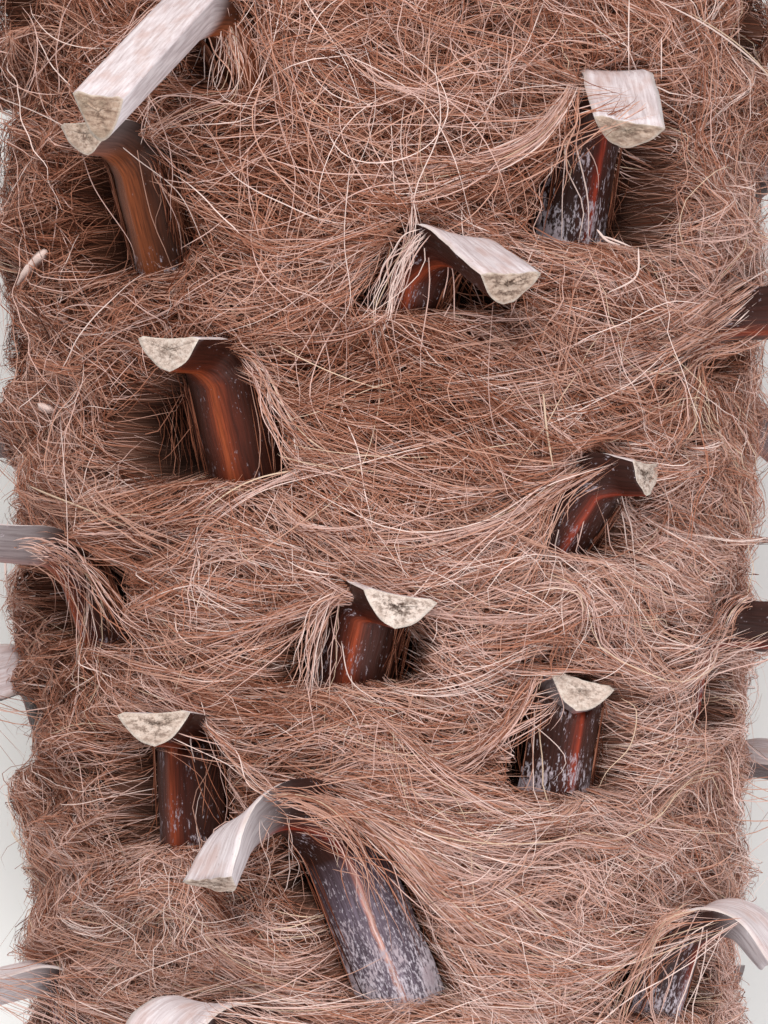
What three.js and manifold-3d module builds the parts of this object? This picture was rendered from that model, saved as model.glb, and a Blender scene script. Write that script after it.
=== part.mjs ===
// A cut length of windmill palm trunk that lies on its side: a wooden core, the stubs of
// the pruned leaves, and the brown fibre that their sheaths leave round the trunk in tiers.
// Millimetres and degrees. Inside its group the trunk stands along +Z, and its front faces
// -Y. The group lays it down with the top end towards +Y and the front facing up.

import * as THREE from 'three';
import { mergeVertices } from 'three/addons/utils/BufferGeometryUtils.js';
import Module from 'manifold-3d';

const wasm = await Module();
wasm.setup();

// Driving dimensions of the trunk
const LENGTH = 420;
const CORE_RADIUS = 75;
const GAP = 0.4; // left between neighbouring pieces
const FIBRE_RADIUS = 136; // of the fibre at mid length
const FIBRE_FLARE = 0.034; // growth of that radius with height

// Leaves sit on a spiral, numbered downwards, with leaf 0 near mid length
const LEAF_TURN = 137.5;
const LEAF_STEP = 10.2;
const FIRST_TURN = -27.5;
const FIRST_FOOT = 9;
const TOP_LEAF = -18;
const BOTTOM_LEAF = 22;

// A leaf base: a plank that rises from the fibre, bends outwards and ends in a cut
const PLANK_RADIUS = 116; // of the plank's inner face where it leaves the fibre
const BASE_HALF_WIDTH = 15;
const TIP_HALF_WIDTH = 12.5;
const BASE_DEPTH = 11.5;
const SHOULDER_ACROSS = 0.6; // where the section's flanks turn towards the keel
const SHOULDER_DEEP = 0.66;
const ROOT_DROP = 50; // from where the plank shows down to where it meets the core
const ROOT_BACK = 25;
const ROOT_SUNK = 4; // a root starts that far inside the core before it is cut clear of it
const ROOT_STEPS = 2;
const RISE_STEPS = 1;
const ARCH_STEPS = 5;

// The leaf bases that show from the front. Angles: turn round the trunk from the front, to
// the right; out and lean of the plank, outwards and to the right; swing of the end, to the
// right of straight out; droop below level; twist about its own length. Lengths: foot is the
// height where the plank shows; rise, arch and tip are the plank's length, the bend's
// radius and the straight end.
const SEEN_COLUMNS = ['turn', 'foot', 'out', 'lean', 'rise', 'arch', 'swing', 'droop', 'tip', 'twist'];
const SEEN = new Map([
  [-13, [-20, 143, 17, -21, 24, 18, -4, 31, 75, -43]],
  [-10, [33, 91, 2, 10, 40, 20, -28, 36, 28, -16]],
  [-8, [-40, 82, 16, -4, 36, 23, -2, 3, 5, -4]],
  [-5, [3, 68, 24, 13, 13, 25, 33, 28, 26, 36]],
  [-3, [-77, 49, 2, 0, 33, 9, 12, 3, 5, 39]],
  [-2, [57, 49, 20, 16, 5, 31, 46, -2, 14, 5]],
  [0, [-24, 10, 11, -9, 35, 18, -9, -1, 13, -18]],
  [3, [28, -15, 20, 26, 27, 18, 40, -1, 7, 46]],
  [5, [-56, -46, 20, -5, 26, 19, -50, -5, 20, -30]],
  [6, [60, -76, 8, 4, 24, 16, 36, 4, 18, -6]],
  [8, [-6, -59, 8, 13, 24, 12, 28, 5, 17, 27]],
  [11, [30, -97, 8, 5, 31, 9, -8, -14, 5, -20]],
  [13, [-35, -115, 2, -1, 36, 9, 22, -4, 35, 23]],
  [16, [3, -166, 2, -22, 53, 29, -37, 55, 13, -59]],
  [18, [-66, -187, 14, 2, 14, 15, -20, 14, 24, -16]],
  [19, [54, -176, 19, 0, 27, 18, 33, 50, 12, 40]],
  [21, [-20, -207, 25, -10, 34, 20, -35, 65, 30, -75]],
]);

// The longest stub grows narrower and deeper towards its cut
const LONG_LEAF = -13;
const LONG_HALF_WIDTH = 9;
const LONG_DEPTH = 16.5;

// The other leaf bases keep to the spiral and take these in turn
const OTHER_OUT = 15;
const OTHER_LEAN = [6, -9, 3, -4, 10];
const OTHER_RISE = [30, 26, 34];
const OTHER_ARCH = [17, 20, 15, 18];
const OTHER_SWING = [-35, 20, -10, 45, 5, -50, 30];
const OTHER_DROOP = [12, 34, 2, 26, 8];
const OTHER_TIP = [4, 14, 30, 8, 18, 16];

// The fibre: each tier is the sheaths of eight leaves, and its rim hangs from their bases
const RIM_FIRST_LEAVES = [12, 4, -4, -12]; // uppermost leaf of each rim, lowest rim first
const LEAVES_A_RIM = 8;
const RIM_ABOVE_FOOT = 38;
const RIM_SAG = 12;
const CUP_DROP = 55; // a tier reaches that far below its rim at the core
const RIM_OUT = 4;
const TUCK_IN = 9;
const COLUMNS = 48;
const ROWS = 3;
const SWELL = 6; // fibre heaped beside each plank
const SWELL_TURN = 12;
const SWELL_WIDTH = 6;
const SWELL_HEIGHT = 25;
const HOLLOW_SIDE = 2.5; // open space beside each plank
const HOLLOW_REACH = 60;
const HOLLOW_UNDER_BEND = 0.5; // share of the bend's radius that the space reaches up
const PAST_END = 40; // pieces reach that far past the saw cuts before they are cut
const CUTTER_RADIUS = 400;
const CUTTER_SIDES = 16;
const CORE_SIDES = 48;

// How it lies: turned about its length and tipped so that three rear leaf bases bear
const REST_ROLL = -1.728;
const REST_PITCH = -0.238;

const UP = new THREE.Vector3(0, 0, 1);
const rad = THREE.MathUtils.degToRad;
const cycle = (list, i) => list[((i % list.length) + list.length) % list.length];

const wood = new THREE.MeshStandardMaterial({ color: 0xb59468, roughness: 0.85, metalness: 0 });
const bark = new THREE.MeshStandardMaterial({ color: 0x6e4c3c, roughness: 0.7, metalness: 0 });
const fibre = new THREE.MeshStandardMaterial({ color: 0xa27f70, roughness: 0.95, metalness: 0 });

// Angle between -180 and 180
function wrapped(degrees) {
  return THREE.MathUtils.euclideanModulo(degrees + 180, 360) - 180;
}

function makeLeaf(n) {
  const endHalf = n === LONG_LEAF ? LONG_HALF_WIDTH : TIP_HALF_WIDTH;
  const endDepth = n === LONG_LEAF ? LONG_DEPTH : BASE_DEPTH;
  const seen = SEEN.get(n);
  if (seen) {
    const values = SEEN_COLUMNS.map((key, i) => [key, seen[i]]);
    return { ...Object.fromEntries(values), endHalf, endDepth };
  }
  return {
    turn: wrapped(FIRST_TURN + LEAF_TURN * n),
    foot: FIRST_FOOT - LEAF_STEP * n,
    out: OTHER_OUT,
    lean: cycle(OTHER_LEAN, n),
    rise: cycle(OTHER_RISE, n),
    arch: cycle(OTHER_ARCH, n),
    swing: cycle(OTHER_SWING, n),
    droop: cycle(OTHER_DROOP, n),
    tip: cycle(OTHER_TIP, n),
    twist: 0,
    endHalf,
    endDepth,
  };
}

function radialAt(turn) {
  return new THREE.Vector3(Math.sin(rad(turn)), -Math.cos(rad(turn)), 0);
}

function sideAt(turn) {
  return new THREE.Vector3(Math.cos(rad(turn)), Math.sin(rad(turn)), 0);
}

// Stations along a leaf base from the core to its cut: a place, the way it runs, and the
// direction that its inner face looks in
function leafPath(leaf) {
  const radial = radialAt(leaf.turn);
  const side = sideAt(leaf.turn);
  const start = new THREE.Vector3()
    .addScaledVector(UP, Math.cos(rad(leaf.out)) * Math.cos(rad(leaf.lean)))
    .addScaledVector(side, Math.cos(rad(leaf.out)) * Math.sin(rad(leaf.lean)))
    .addScaledVector(radial, Math.sin(rad(leaf.out)))
    .normalize();
  const end = new THREE.Vector3()
    .addScaledVector(radial, Math.cos(rad(leaf.swing)))
    .addScaledVector(side, Math.sin(rad(leaf.swing)))
    .multiplyScalar(Math.cos(rad(leaf.droop)))
    .addScaledVector(UP, -Math.sin(rad(leaf.droop)));
  const foot = radial.clone().multiplyScalar(PLANK_RADIUS).addScaledVector(UP, leaf.foot);
  const facing = (along) => radial.clone().negate().projectOnPlane(along).normalize();
  const stations = [];

  const below = foot.clone().addScaledVector(start, -ROOT_BACK);
  const root = below.clone().addScaledVector(radial, CORE_RADIUS - ROOT_SUNK - below.dot(radial));
  root.z = leaf.foot - ROOT_DROP;
  const buried = new THREE.QuadraticBezierCurve3(root, below, foot);
  for (let i = 0; i < ROOT_STEPS; i += 1) {
    const along = buried.getTangent(i / ROOT_STEPS);
    stations.push({ at: buried.getPoint(i / ROOT_STEPS), along, inner: facing(along) });
  }
  for (let i = 0; i <= RISE_STEPS; i += 1) {
    const at = foot.clone().addScaledVector(start, (leaf.rise * i) / RISE_STEPS);
    stations.push({ at, along: start, inner: facing(start) });
  }
  const axis = new THREE.Vector3().crossVectors(start, end).normalize();
  const bend = start.angleTo(end);
  let at = foot.clone().addScaledVector(start, leaf.rise);
  for (let i = 1; i <= ARCH_STEPS; i += 1) {
    const middle = start.clone().applyAxisAngle(axis, (bend * (i - 0.5)) / ARCH_STEPS);
    at = at.clone().addScaledVector(middle, (leaf.arch * bend) / ARCH_STEPS);
    const along = start.clone().applyAxisAngle(axis, (bend * i) / ARCH_STEPS);
    const inner = facing(start)
      .applyAxisAngle(axis, (bend * i) / ARCH_STEPS)
      .applyAxisAngle(along, (rad(leaf.twist) * i) / (ARCH_STEPS + 1));
    stations.push({ at, along, inner });
  }
  const inner = facing(start).applyAxisAngle(axis, bend).applyAxisAngle(end, rad(leaf.twist));
  stations.push({ at: at.clone().addScaledVector(end, leaf.tip), along: end, inner });
  return stations;
}

// Section of a leaf base: flat inside, keeled outside
function leafSection(leaf, station, share, grow) {
  const half = THREE.MathUtils.lerp(BASE_HALF_WIDTH, leaf.endHalf, share) + grow;
  const depth = THREE.MathUtils.lerp(BASE_DEPTH, leaf.endDepth, share) + grow;
  const side = new THREE.Vector3().crossVectors(station.inner, station.along).normalize();
  const outline = [
    [-half - grow, grow],
    [-half * SHOULDER_ACROSS, -depth * SHOULDER_DEEP],
    [0, -depth],
    [half * SHOULDER_ACROSS, -depth * SHOULDER_DEEP],
    [half + grow, grow],
  ];
  return outline.map(([across, inwards]) =>
    station.at.clone().addScaledVector(side, across).addScaledVector(station.inner, inwards),
  );
}

function solidFrom(points, triangles) {
  return new wasm.Manifold(
    new wasm.Mesh({
      numProp: 3,
      vertProperties: new Float32Array(points.flatMap((p) => p.toArray())),
      triVerts: new Uint32Array(triangles.flat()),
    }),
  );
}

// Closed body through rings of equally many points, with a flat fan at each end
function loft(rings) {
  const count = rings[0].length;
  const triangles = [];
  for (let r = 0; r + 1 < rings.length; r += 1) {
    for (let i = 0; i < count; i += 1) {
      const a = r * count + i;
      const b = r * count + ((i + 1) % count);
      triangles.push([a, b, b + count], [a, b + count, a + count]);
    }
  }
  const last = (rings.length - 1) * count;
  for (let i = 1; i + 1 < count; i += 1) {
    triangles.push([0, i + 1, i], [last, last + i, last + i + 1]);
  }
  return solidFrom(rings.flat(), triangles);
}

function leafSolid(leaf, grow) {
  const path = leafPath(leaf);
  const end = path[path.length - 1];
  end.at = end.at.clone().addScaledVector(end.along, grow);
  return loft(path.map((station, i) => leafSection(leaf, station, i / (path.length - 1), grow)));
}

// Open space in front of a plank and under its bend
function hollowSolid(leaf) {
  const path = leafPath(leaf);
  const ends = [path[ROOT_STEPS], path[ROOT_STEPS + RISE_STEPS]];
  const rings = ends.map(({ at, along, inner }, i) => {
    const side = new THREE.Vector3().crossVectors(inner, along).normalize();
    const half = BASE_HALF_WIDTH + HOLLOW_SIDE;
    const place = at.clone().addScaledVector(along, i * leaf.arch * HOLLOW_UNDER_BEND);
    return [[-half, 0], [-half, -HOLLOW_REACH], [half, -HOLLOW_REACH], [half, 0]].map(
      ([across, inwards]) =>
        place.clone().addScaledVector(side, across).addScaledVector(inner, inwards),
    );
  });
  return loft(rings);
}

// Height of a tier's rim at an angle: it passes its leaves and sags between them
function rimHeight(rim, turn) {
  const hooks = rim.map((leaf) => ({ turn: leaf.turn, z: leaf.foot + RIM_ABOVE_FOOT }));
  hooks.sort((a, b) => a.turn - b.turn);
  const next = hooks.findIndex((hook) => hook.turn > turn);
  const after = hooks[next < 0 ? 0 : next];
  const before = hooks[next <= 0 ? hooks.length - 1 : next - 1];
  const span = THREE.MathUtils.euclideanModulo(after.turn - before.turn, 360);
  const share = THREE.MathUtils.euclideanModulo(turn - before.turn, 360) / span;
  return THREE.MathUtils.lerp(before.z, after.z, share) - RIM_SAG * 4 * share * (1 - share);
}

// Fibre stands out beside each plank
function swellAt(leaves, turn, z) {
  let swell = 0;
  for (const leaf of leaves) {
    const across = (Math.abs(wrapped(turn - leaf.turn)) - SWELL_TURN) / SWELL_WIDTH;
    const along = (z - leaf.foot - SWELL_HEIGHT) / SWELL_HEIGHT;
    swell += Math.exp(-across * across - along * along);
  }
  return SWELL * Math.min(swell, 1);
}

// One tier: a ring whose lower side sits in the cup of the tier below, and whose rim is the
// cup for the tier above
function tierSolid(lowRim, highRim, leaves) {
  const inside = CORE_RADIUS + GAP;
  const rings = [];
  for (let c = 0; c < COLUMNS; c += 1) {
    const turn = wrapped((360 * c) / COLUMNS);
    const low = lowRim(turn);
    const high = highRim(turn);
    const cup = (rim, r) => {
      const edge = FIBRE_RADIUS + FIBRE_FLARE * rim + RIM_OUT;
      return rim - (CUP_DROP * (edge - r)) / (edge - inside);
    };
    const tuck = (rim) => FIBRE_RADIUS + FIBRE_FLARE * rim - TUCK_IN;
    const section = [[inside, cup(low, inside)], [tuck(low), cup(low, tuck(low))]];
    const start = cup(low, tuck(low));
    for (let row = 1; row <= ROWS; row += 1) {
      const share = row / ROWS;
      const z = THREE.MathUtils.lerp(start, high - GAP, share);
      const plain = FIBRE_RADIUS + FIBRE_FLARE * z + THREE.MathUtils.lerp(-TUCK_IN, RIM_OUT, share);
      section.push([plain + (row < ROWS ? swellAt(leaves, turn, z) : 0), z]);
    }
    section.push([tuck(high), cup(high, tuck(high)) - GAP], [inside, cup(high, inside) - GAP]);
    rings.push(section.map(([r, z]) => radialAt(turn).multiplyScalar(r).setZ(z)));
  }
  const count = rings[0].length;
  const triangles = [];
  for (let c = 0; c < COLUMNS; c += 1) {
    for (let i = 0; i < count; i += 1) {
      const a = c * count + i;
      const b = c * count + ((i + 1) % count);
      const across = ((c + 1) % COLUMNS) * count - c * count;
      const onCup = i === count - 3 || i === count - 2;
      if (onCup) triangles.push([a, a + across, b], [b, a + across, b + across]);
      else triangles.push([a, b + across, b], [a, a + across, b + across]);
    }
  }
  return solidFrom(rings.flat(), triangles);
}

// A plain cylinder along the trunk as a solid
function cylinderSolid(radius, length, segments) {
  const geometry = new THREE.CylinderGeometry(radius, radius, length, segments).rotateX(Math.PI / 2);
  geometry.deleteAttribute('normal');
  geometry.deleteAttribute('uv');
  const merged = mergeVertices(geometry);
  return new wasm.Manifold(
    new wasm.Mesh({
      numProp: 3,
      vertProperties: merged.attributes.position.array,
      triVerts: new Uint32Array(merged.index.array),
    }),
  );
}

// The largest body of a solid, without the scraps that a cut leaves
function mainBody(solid) {
  return solid.decompose().reduce((best, body) => (body.volume() > best.volume() ? body : best));
}

function meshOf(name, solid, material) {
  const { vertProperties, triVerts } = solid.getMesh();
  const geometry = new THREE.BufferGeometry();
  geometry.setAttribute('position', new THREE.BufferAttribute(vertProperties, 3));
  geometry.setIndex(new THREE.BufferAttribute(triVerts, 1));
  geometry.computeVertexNormals();
  const mesh = new THREE.Mesh(geometry, material);
  mesh.name = name;
  return mesh;
}

const leaves = new Map();
for (let n = TOP_LEAF; n <= BOTTOM_LEAF; n += 1) leaves.set(n, makeLeaf(n));

const sawn = cylinderSolid(CUTTER_RADIUS, LENGTH, CUTTER_SIDES);
const log = new THREE.Group();

log.add(meshOf('trunk_core', cylinderSolid(CORE_RADIUS, LENGTH, CORE_SIDES), wood));

[...leaves.values()].forEach((leaf, i) => {
  const offCore = leafSolid(leaf, 0).trimByPlane(radialAt(leaf.turn).toArray(), CORE_RADIUS + 2 * GAP);
  const solid = mainBody(offCore.intersect(sawn));
  log.add(meshOf(`leaf_base_${String(i + 1).padStart(2, '0')}`, solid, bark));
});

let spaces = null;
for (const leaf of leaves.values()) {
  const space = leafSolid(leaf, GAP).add(hollowSolid(leaf));
  spaces = spaces ? spaces.add(space) : space;
}
const rims = RIM_FIRST_LEAVES.map((first) => {
  const rim = Array.from({ length: LEAVES_A_RIM }, (_, i) => leaves.get(first + i));
  return (turn) => rimHeight(rim, turn);
});
const rimsAndEnds = [() => -LENGTH / 2 - PAST_END, ...rims, () => LENGTH / 2 + PAST_END + CUP_DROP];
for (let tier = 0; tier + 1 < rimsAndEnds.length; tier += 1) {
  const whole = tierSolid(rimsAndEnds[tier], rimsAndEnds[tier + 1], [...leaves.values()]);
  const solid = mainBody(whole.subtract(spaces).intersect(sawn));
  log.add(meshOf(`fibre_tier_${tier + 1}`, solid, fibre));
}

// The log lies on its rear leaf bases, with its lowest point and its middle at the origin
log.rotation.set(rad(REST_PITCH - 90), 0, rad(REST_ROLL));
const bounds = new THREE.Box3().setFromObject(log, true);
const middle = bounds.getCenter(new THREE.Vector3());
log.position.set(-middle.x, -middle.y, -bounds.min.z);

const group = new THREE.Group();
group.add(log);

export default group;
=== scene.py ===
"""A cut length of windmill palm trunk that lies on its side, front facing up.

Shapes are worked out in the trunk's own frame, in millimetres: Z runs up the trunk, the
front faces -Y, and a place on the trunk is a turn (degrees round from the front, to the
right), a height and a radius. to_world brings them into the part's frame, in metres.
"""

import math

import bpy
import numpy as np
from mathutils import Matrix, Vector


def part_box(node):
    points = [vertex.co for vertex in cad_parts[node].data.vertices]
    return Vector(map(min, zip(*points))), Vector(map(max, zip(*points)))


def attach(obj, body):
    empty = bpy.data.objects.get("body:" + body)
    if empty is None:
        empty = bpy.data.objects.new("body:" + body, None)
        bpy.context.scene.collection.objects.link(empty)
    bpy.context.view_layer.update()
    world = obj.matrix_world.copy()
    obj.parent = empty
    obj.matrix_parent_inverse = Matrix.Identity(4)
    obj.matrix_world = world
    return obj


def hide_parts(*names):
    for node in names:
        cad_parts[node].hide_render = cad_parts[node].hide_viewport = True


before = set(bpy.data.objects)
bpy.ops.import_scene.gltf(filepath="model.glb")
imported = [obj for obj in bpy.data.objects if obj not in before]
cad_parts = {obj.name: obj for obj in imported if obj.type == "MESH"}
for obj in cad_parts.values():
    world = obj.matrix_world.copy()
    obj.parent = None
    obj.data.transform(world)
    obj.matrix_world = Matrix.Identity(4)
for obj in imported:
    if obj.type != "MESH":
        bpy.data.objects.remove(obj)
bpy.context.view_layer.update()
rng = np.random.default_rng(41)

# Trunk, as in the part's source
LENGTH = 420.0
CORE_RADIUS = 75.0
FIBRE_RADIUS = 136.0
FIBRE_FLARE = 0.034
REST_ROLL = -1.728
REST_PITCH = -0.238

# Leaf spiral and leaf bases, as in the part's source
LEAF_TURN = 137.5
LEAF_STEP = 10.2
FIRST_TURN = -27.5
FIRST_FOOT = 9.0
TOP_LEAF = -18
BOTTOM_LEAF = 22
PLANK_RADIUS = 116.0
BASE_HALF_WIDTH = 15.0
TIP_HALF_WIDTH = 12.5
BASE_DEPTH = 11.5
ROOT_DROP = 50.0
ROOT_BACK = 25.0
COLUMNS = ("turn", "foot", "out", "lean", "rise", "arch", "swing", "droop", "tip", "twist")
SEEN = {
    -13: (-20, 143, 17, -21, 24, 18, -4, 31, 75, -43),
    -10: (33, 91, 2, 10, 40, 20, -28, 36, 28, -16),
    -8: (-40, 82, 16, -4, 36, 23, -2, 3, 5, -4),
    -5: (3, 68, 24, 13, 13, 25, 33, 28, 26, 36),
    -3: (-77, 49, 2, 0, 33, 9, 12, 3, 5, 39),
    -2: (57, 49, 20, 16, 5, 31, 46, -2, 14, 5),
    0: (-24, 10, 11, -9, 35, 18, -9, -1, 13, -18),
    3: (28, -15, 20, 26, 27, 18, 40, -1, 7, 46),
    5: (-56, -46, 20, -5, 26, 19, -50, -5, 20, -30),
    6: (60, -76, 8, 4, 24, 16, 36, 4, 18, -6),
    8: (-6, -59, 8, 13, 24, 12, 28, 5, 17, 27),
    11: (30, -97, 8, 5, 31, 9, -8, -14, 5, -20),
    13: (-35, -115, 2, -1, 36, 9, 22, -4, 35, 23),
    16: (3, -166, 2, -22, 53, 29, -37, 55, 13, -59),
    18: (-66, -187, 14, 2, 14, 15, -20, 14, 24, -16),
    19: (54, -176, 19, 0, 27, 18, 33, 50, 12, 40),
    21: (-20, -207, 25, -10, 34, 20, -35, 65, 30, -75),
}
OTHER = {
    "out": (15,),
    "lean": (6, -9, 3, -4, 10),
    "rise": (30, 26, 34),
    "arch": (17, 20, 15, 18),
    "swing": (-35, 20, -10, 45, 5, -50, 30),
    "droop": (12, 34, 2, 26, 8),
    "tip": (4, 14, 30, 8, 18, 16),
    "twist": (0,),
}

# The longest stub grows narrower and deeper towards its cut
LONG_LEAF = -13
LONG_HALF_WIDTH = 9.0
LONG_DEPTH = 16.5
# The shortest one hardly leaves the fibre, so the fibre starts closer above its cut
SHORT_LEAF = 11
LIP = 10.0
SHORT_LIP = 3.0
# Beside this one the dark space reaches down only part of the plank
STEEP_LEAF = 16
STEEP_CAVE = 0.42

# How each leaf looks:
# age of the plank: 0 orange brown, 0.25 red brown, 0.5 dark with flecks, 1 weathered grey;
#     the darker steps are partly painted shade, on planks that lie in shade
# bare: half the width of the plank that the fibre leaves bare, in mm
# cave: width in mm of the dark space to its left and to its right; its darkness is partly painted shade
# flank: how many strands, dark with painted shade, run up its flanks
# bloom: how much white bloom its foot has
# bleach: how far the outer side is bleached on towards the cut, 1 white, 0 like the plank
# cut: 0 cream, 1 ochre and green; and how cracked its middle is
# mane, the strands over the bend: how many, the side that they fall to (-1 left, 1 right, 0 both)
#     and how much of the bend they cover, from 0, its shoulder, to 1, all of it
# curtain, the strands that hang in front: how many and at which edge
LOOK_COLUMNS = ("age", "bare", "cave", "flank", "bloom", "bleach", "cut", "mane", "curtain")
LOOKS = {
    -13: (0.04, 4, (12, 4), 160, 0.0, 1.0, (1.0, 0.3), (30, 1, 0.0), (10, 0)),
    -10: (0.55, 16, (6, 10), 30, 0.4, 0.6, (0.85, 0.35), (30, -1, 0.0), (7, -1)),
    -8: (0.0, 12, (20, 10), 200, 0.6, 0.1, (0.75, 0.4), (10, 1, 0.0), (3, 1)),
    -5: (0.34, 12, (4, 26), 60, 0.0, 0.0, (0.75, 1.0), (70, -1, 0.1), (9, -1)),
    -3: (0.6, 8, (4, 10), 16, 0.0, 0.25, (0.3, 0.6), (60, 1, 0.5), (7, 0)),
    -2: (0.36, 12, (2, 18), 16, 0.0, 0.0, (0.3, 0.6), (200, -1, 1.0), (12, -1)),
    0: (0.17, 17, (24, 3), 40, 0.0, 0.0, (0.2, 0.45), (36, 1, 0.0), (3, 1)),
    3: (0.4, 6, (4, 14), 60, 0.0, 0.0, (0.2, 1.0), (60, -1, 0.3), (8, 0)),
    5: (0.3, 9, (24, 20), 120, 0.0, 0.35, (0.3, 0.6), (40, 1, 0.6), (16, 1)),
    6: (0.45, 9, (6, 5), 16, 0.0, 0.0, (0.3, 0.6), (90, -1, 0.9), (9, -1)),
    8: (0.34, 15, (8, 8), 40, 0.0, 0.0, (0.0, 1.0), (50, -1, 0.1), (12, -1)),
    11: (0.4, 17, (6, 5), 16, 0.45, 0.25, (0.2, 0.4), (24, -1, 0.0), (4, -1)),
    13: (0.32, 19, (8, 3), 16, 0.1, 0.0, (0.4, 0.8), (10, 1, 0.0), (3, 1)),
    16: (1.0, 18, (6, 2), 16, 0.05, 0.9, (0.5, 0.6), (90, 1, 0.7), (8, 0)),
    18: (0.5, 9, (4, 14), 16, 0.0, 0.8, (0.3, 0.6), (60, 1, 0.6), (7, 0)),
    19: (0.6, 15, (14, 8), 60, 0.5, 0.8, (0.3, 0.6), (60, -1, 0.3), (9, -1)),
    21: (0.5, 10, (6, 12), 16, 0.0, 0.9, (0.3, 0.6), (70, 1, 0.5), (7, 0)),
}
OTHER_AGE = (0.45, 0.2, 0.7, 0.5, 0.1, 0.6, 0.35)
OTHER_LOOKS = (12, None, 16, 0.0, 0.25, (0.3, 0.6), (40, 0, 0.4), (7, 0))

# Places where the fibre is sunk, and darker with painted shade (below 0), or stands out, and paler
# with painted light (above 0): middle in the photo's pixels, half width and half height in pixels, and how
# much
RELIEF = (
    (90, 230, 50, 75, -1.7), (230, 45, 40, 50, -1.0), (310, 118, 100, 26, -1.2), (45, 85, 60, 60, -0.7),
    (500, 170, 90, 30, -0.9), (395, 365, 130, 55, -1.4), (690, 375, 55, 40, -1.2), (560, 500, 60, 26, -0.8),
    (70, 625, 45, 50, -1.4), (270, 715, 32, 36, -1.2), (300, 850, 45, 40, -0.8), (230, 925, 60, 40, -0.2),
    (150, 330, 60, 30, -0.6), (640, 200, 60, 40, -0.3), (490, 750, 40, 50, -0.7), (680, 960, 45, 45, -0.8),
    (300, 650, 40, 60, -0.6), (20, 760, 40, 60, -0.8), (600, 410, 90, 30, -0.5), (300, 185, 110, 60, -0.9),
    (395, 430, 130, 50, -0.5), (580, 655, 50, 16, -1.3), (200, 400, 30, 50, -0.6), (600, 340, 80, 30, -0.5),
    (240, 150, 50, 40, -0.7), (600, 590, 90, 40, 0.9), (540, 900, 110, 80, 0.5), (690, 250, 60, 40, 0.9),
    (430, 560, 90, 30, 0.4), (60, 330, 60, 40, 0.3), (560, 20, 80, 40, 0.4), (660, 700, 70, 50, 0.9),
    (160, 960, 70, 50, 0.4), (450, 690, 60, 40, 0.6), (590, 270, 50, 24, 0.6), (680, 560, 50, 60, 0.7),
    (190, 610, 70, 40, 0.7), (80, 460, 50, 50, 0.25), (260, 950, 60, 40, 0.6), (700, 190, 50, 40, 0.7),
    (660, 575, 60, 50, 0.5),
)
RELIEF_HEIGHT = 3.5
# The fibre is lower beside the planks near the front, on the side away from it
SHELF_DEPTH = 17.0
SHELF_TURN = 45.0

# Camera, from the photo: 1500 mm from the trunk's axis, 0.37 mm a pixel there
EYE = 1500.0
PIXEL = 0.37
PHOTO_WIDTH = 768
PHOTO_HEIGHT = 1024
AXIS_PX = 385.0

# Radius at which turns are unrolled into millimetres, and the grid that fields are kept on
ROUND = 125.0
AROUND = 2 * math.pi * ROUND
FIELD_REACH = LENGTH / 2 + 20
FIELD_STEP = 1.6

centre = (Vector(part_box("trunk_core")[0]) + Vector(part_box("trunk_core")[1])) / 2
trunk_to_world = (
    Matrix.Translation(centre)
    @ Matrix.Rotation(math.radians(REST_PITCH - 90), 4, "X")
    @ Matrix.Rotation(math.radians(REST_ROLL), 4, "Z")
    @ Matrix.Scale(0.001, 4)
)
AS_ARRAY = np.array(trunk_to_world)


def to_world(points):
    """Points of the trunk's frame, in millimetres, as metres in the part's frame."""
    return points @ AS_ARRAY[:3, :3].T + AS_ARRAY[:3, 3]


def photo_place(x, y, radius=FIBRE_RADIUS):
    """Turn (unrolled) and height of what the photo shows at a pixel, at a radius."""
    x, y = np.asarray(x, float), np.asarray(y, float)
    depth = EYE - radius
    for _ in range(4):
        right = (x - AXIS_PX) * PIXEL * depth / EYE
        right = np.clip(right, -radius * 0.995, radius * 0.995)
        depth = EYE - np.sqrt(radius**2 - right**2)
    return np.arcsin(right / radius) * ROUND, (PHOTO_HEIGHT / 2 - y) * PIXEL * depth / EYE


# Leaves

ROOT_STEPS = 5
RISE_STEPS = 6
ARCH_STEPS = 16
TIP_STEPS = 5
FOOT_STATION = ROOT_STEPS
BEND_STATION = ROOT_STEPS + RISE_STEPS
END_STATION = BEND_STATION + ARCH_STEPS
UNDER_POINTS = 23
TOP_POINTS = 9


def unit(v):
    return v / np.linalg.norm(v, axis=-1, keepdims=True)


def turned(v, axis, angle):
    """v turned about a unit axis by an angle in radians."""
    return (
        v * math.cos(angle)
        + np.cross(axis, v) * math.sin(angle)
        + axis * (v @ axis) * (1 - math.cos(angle))
    )


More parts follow.
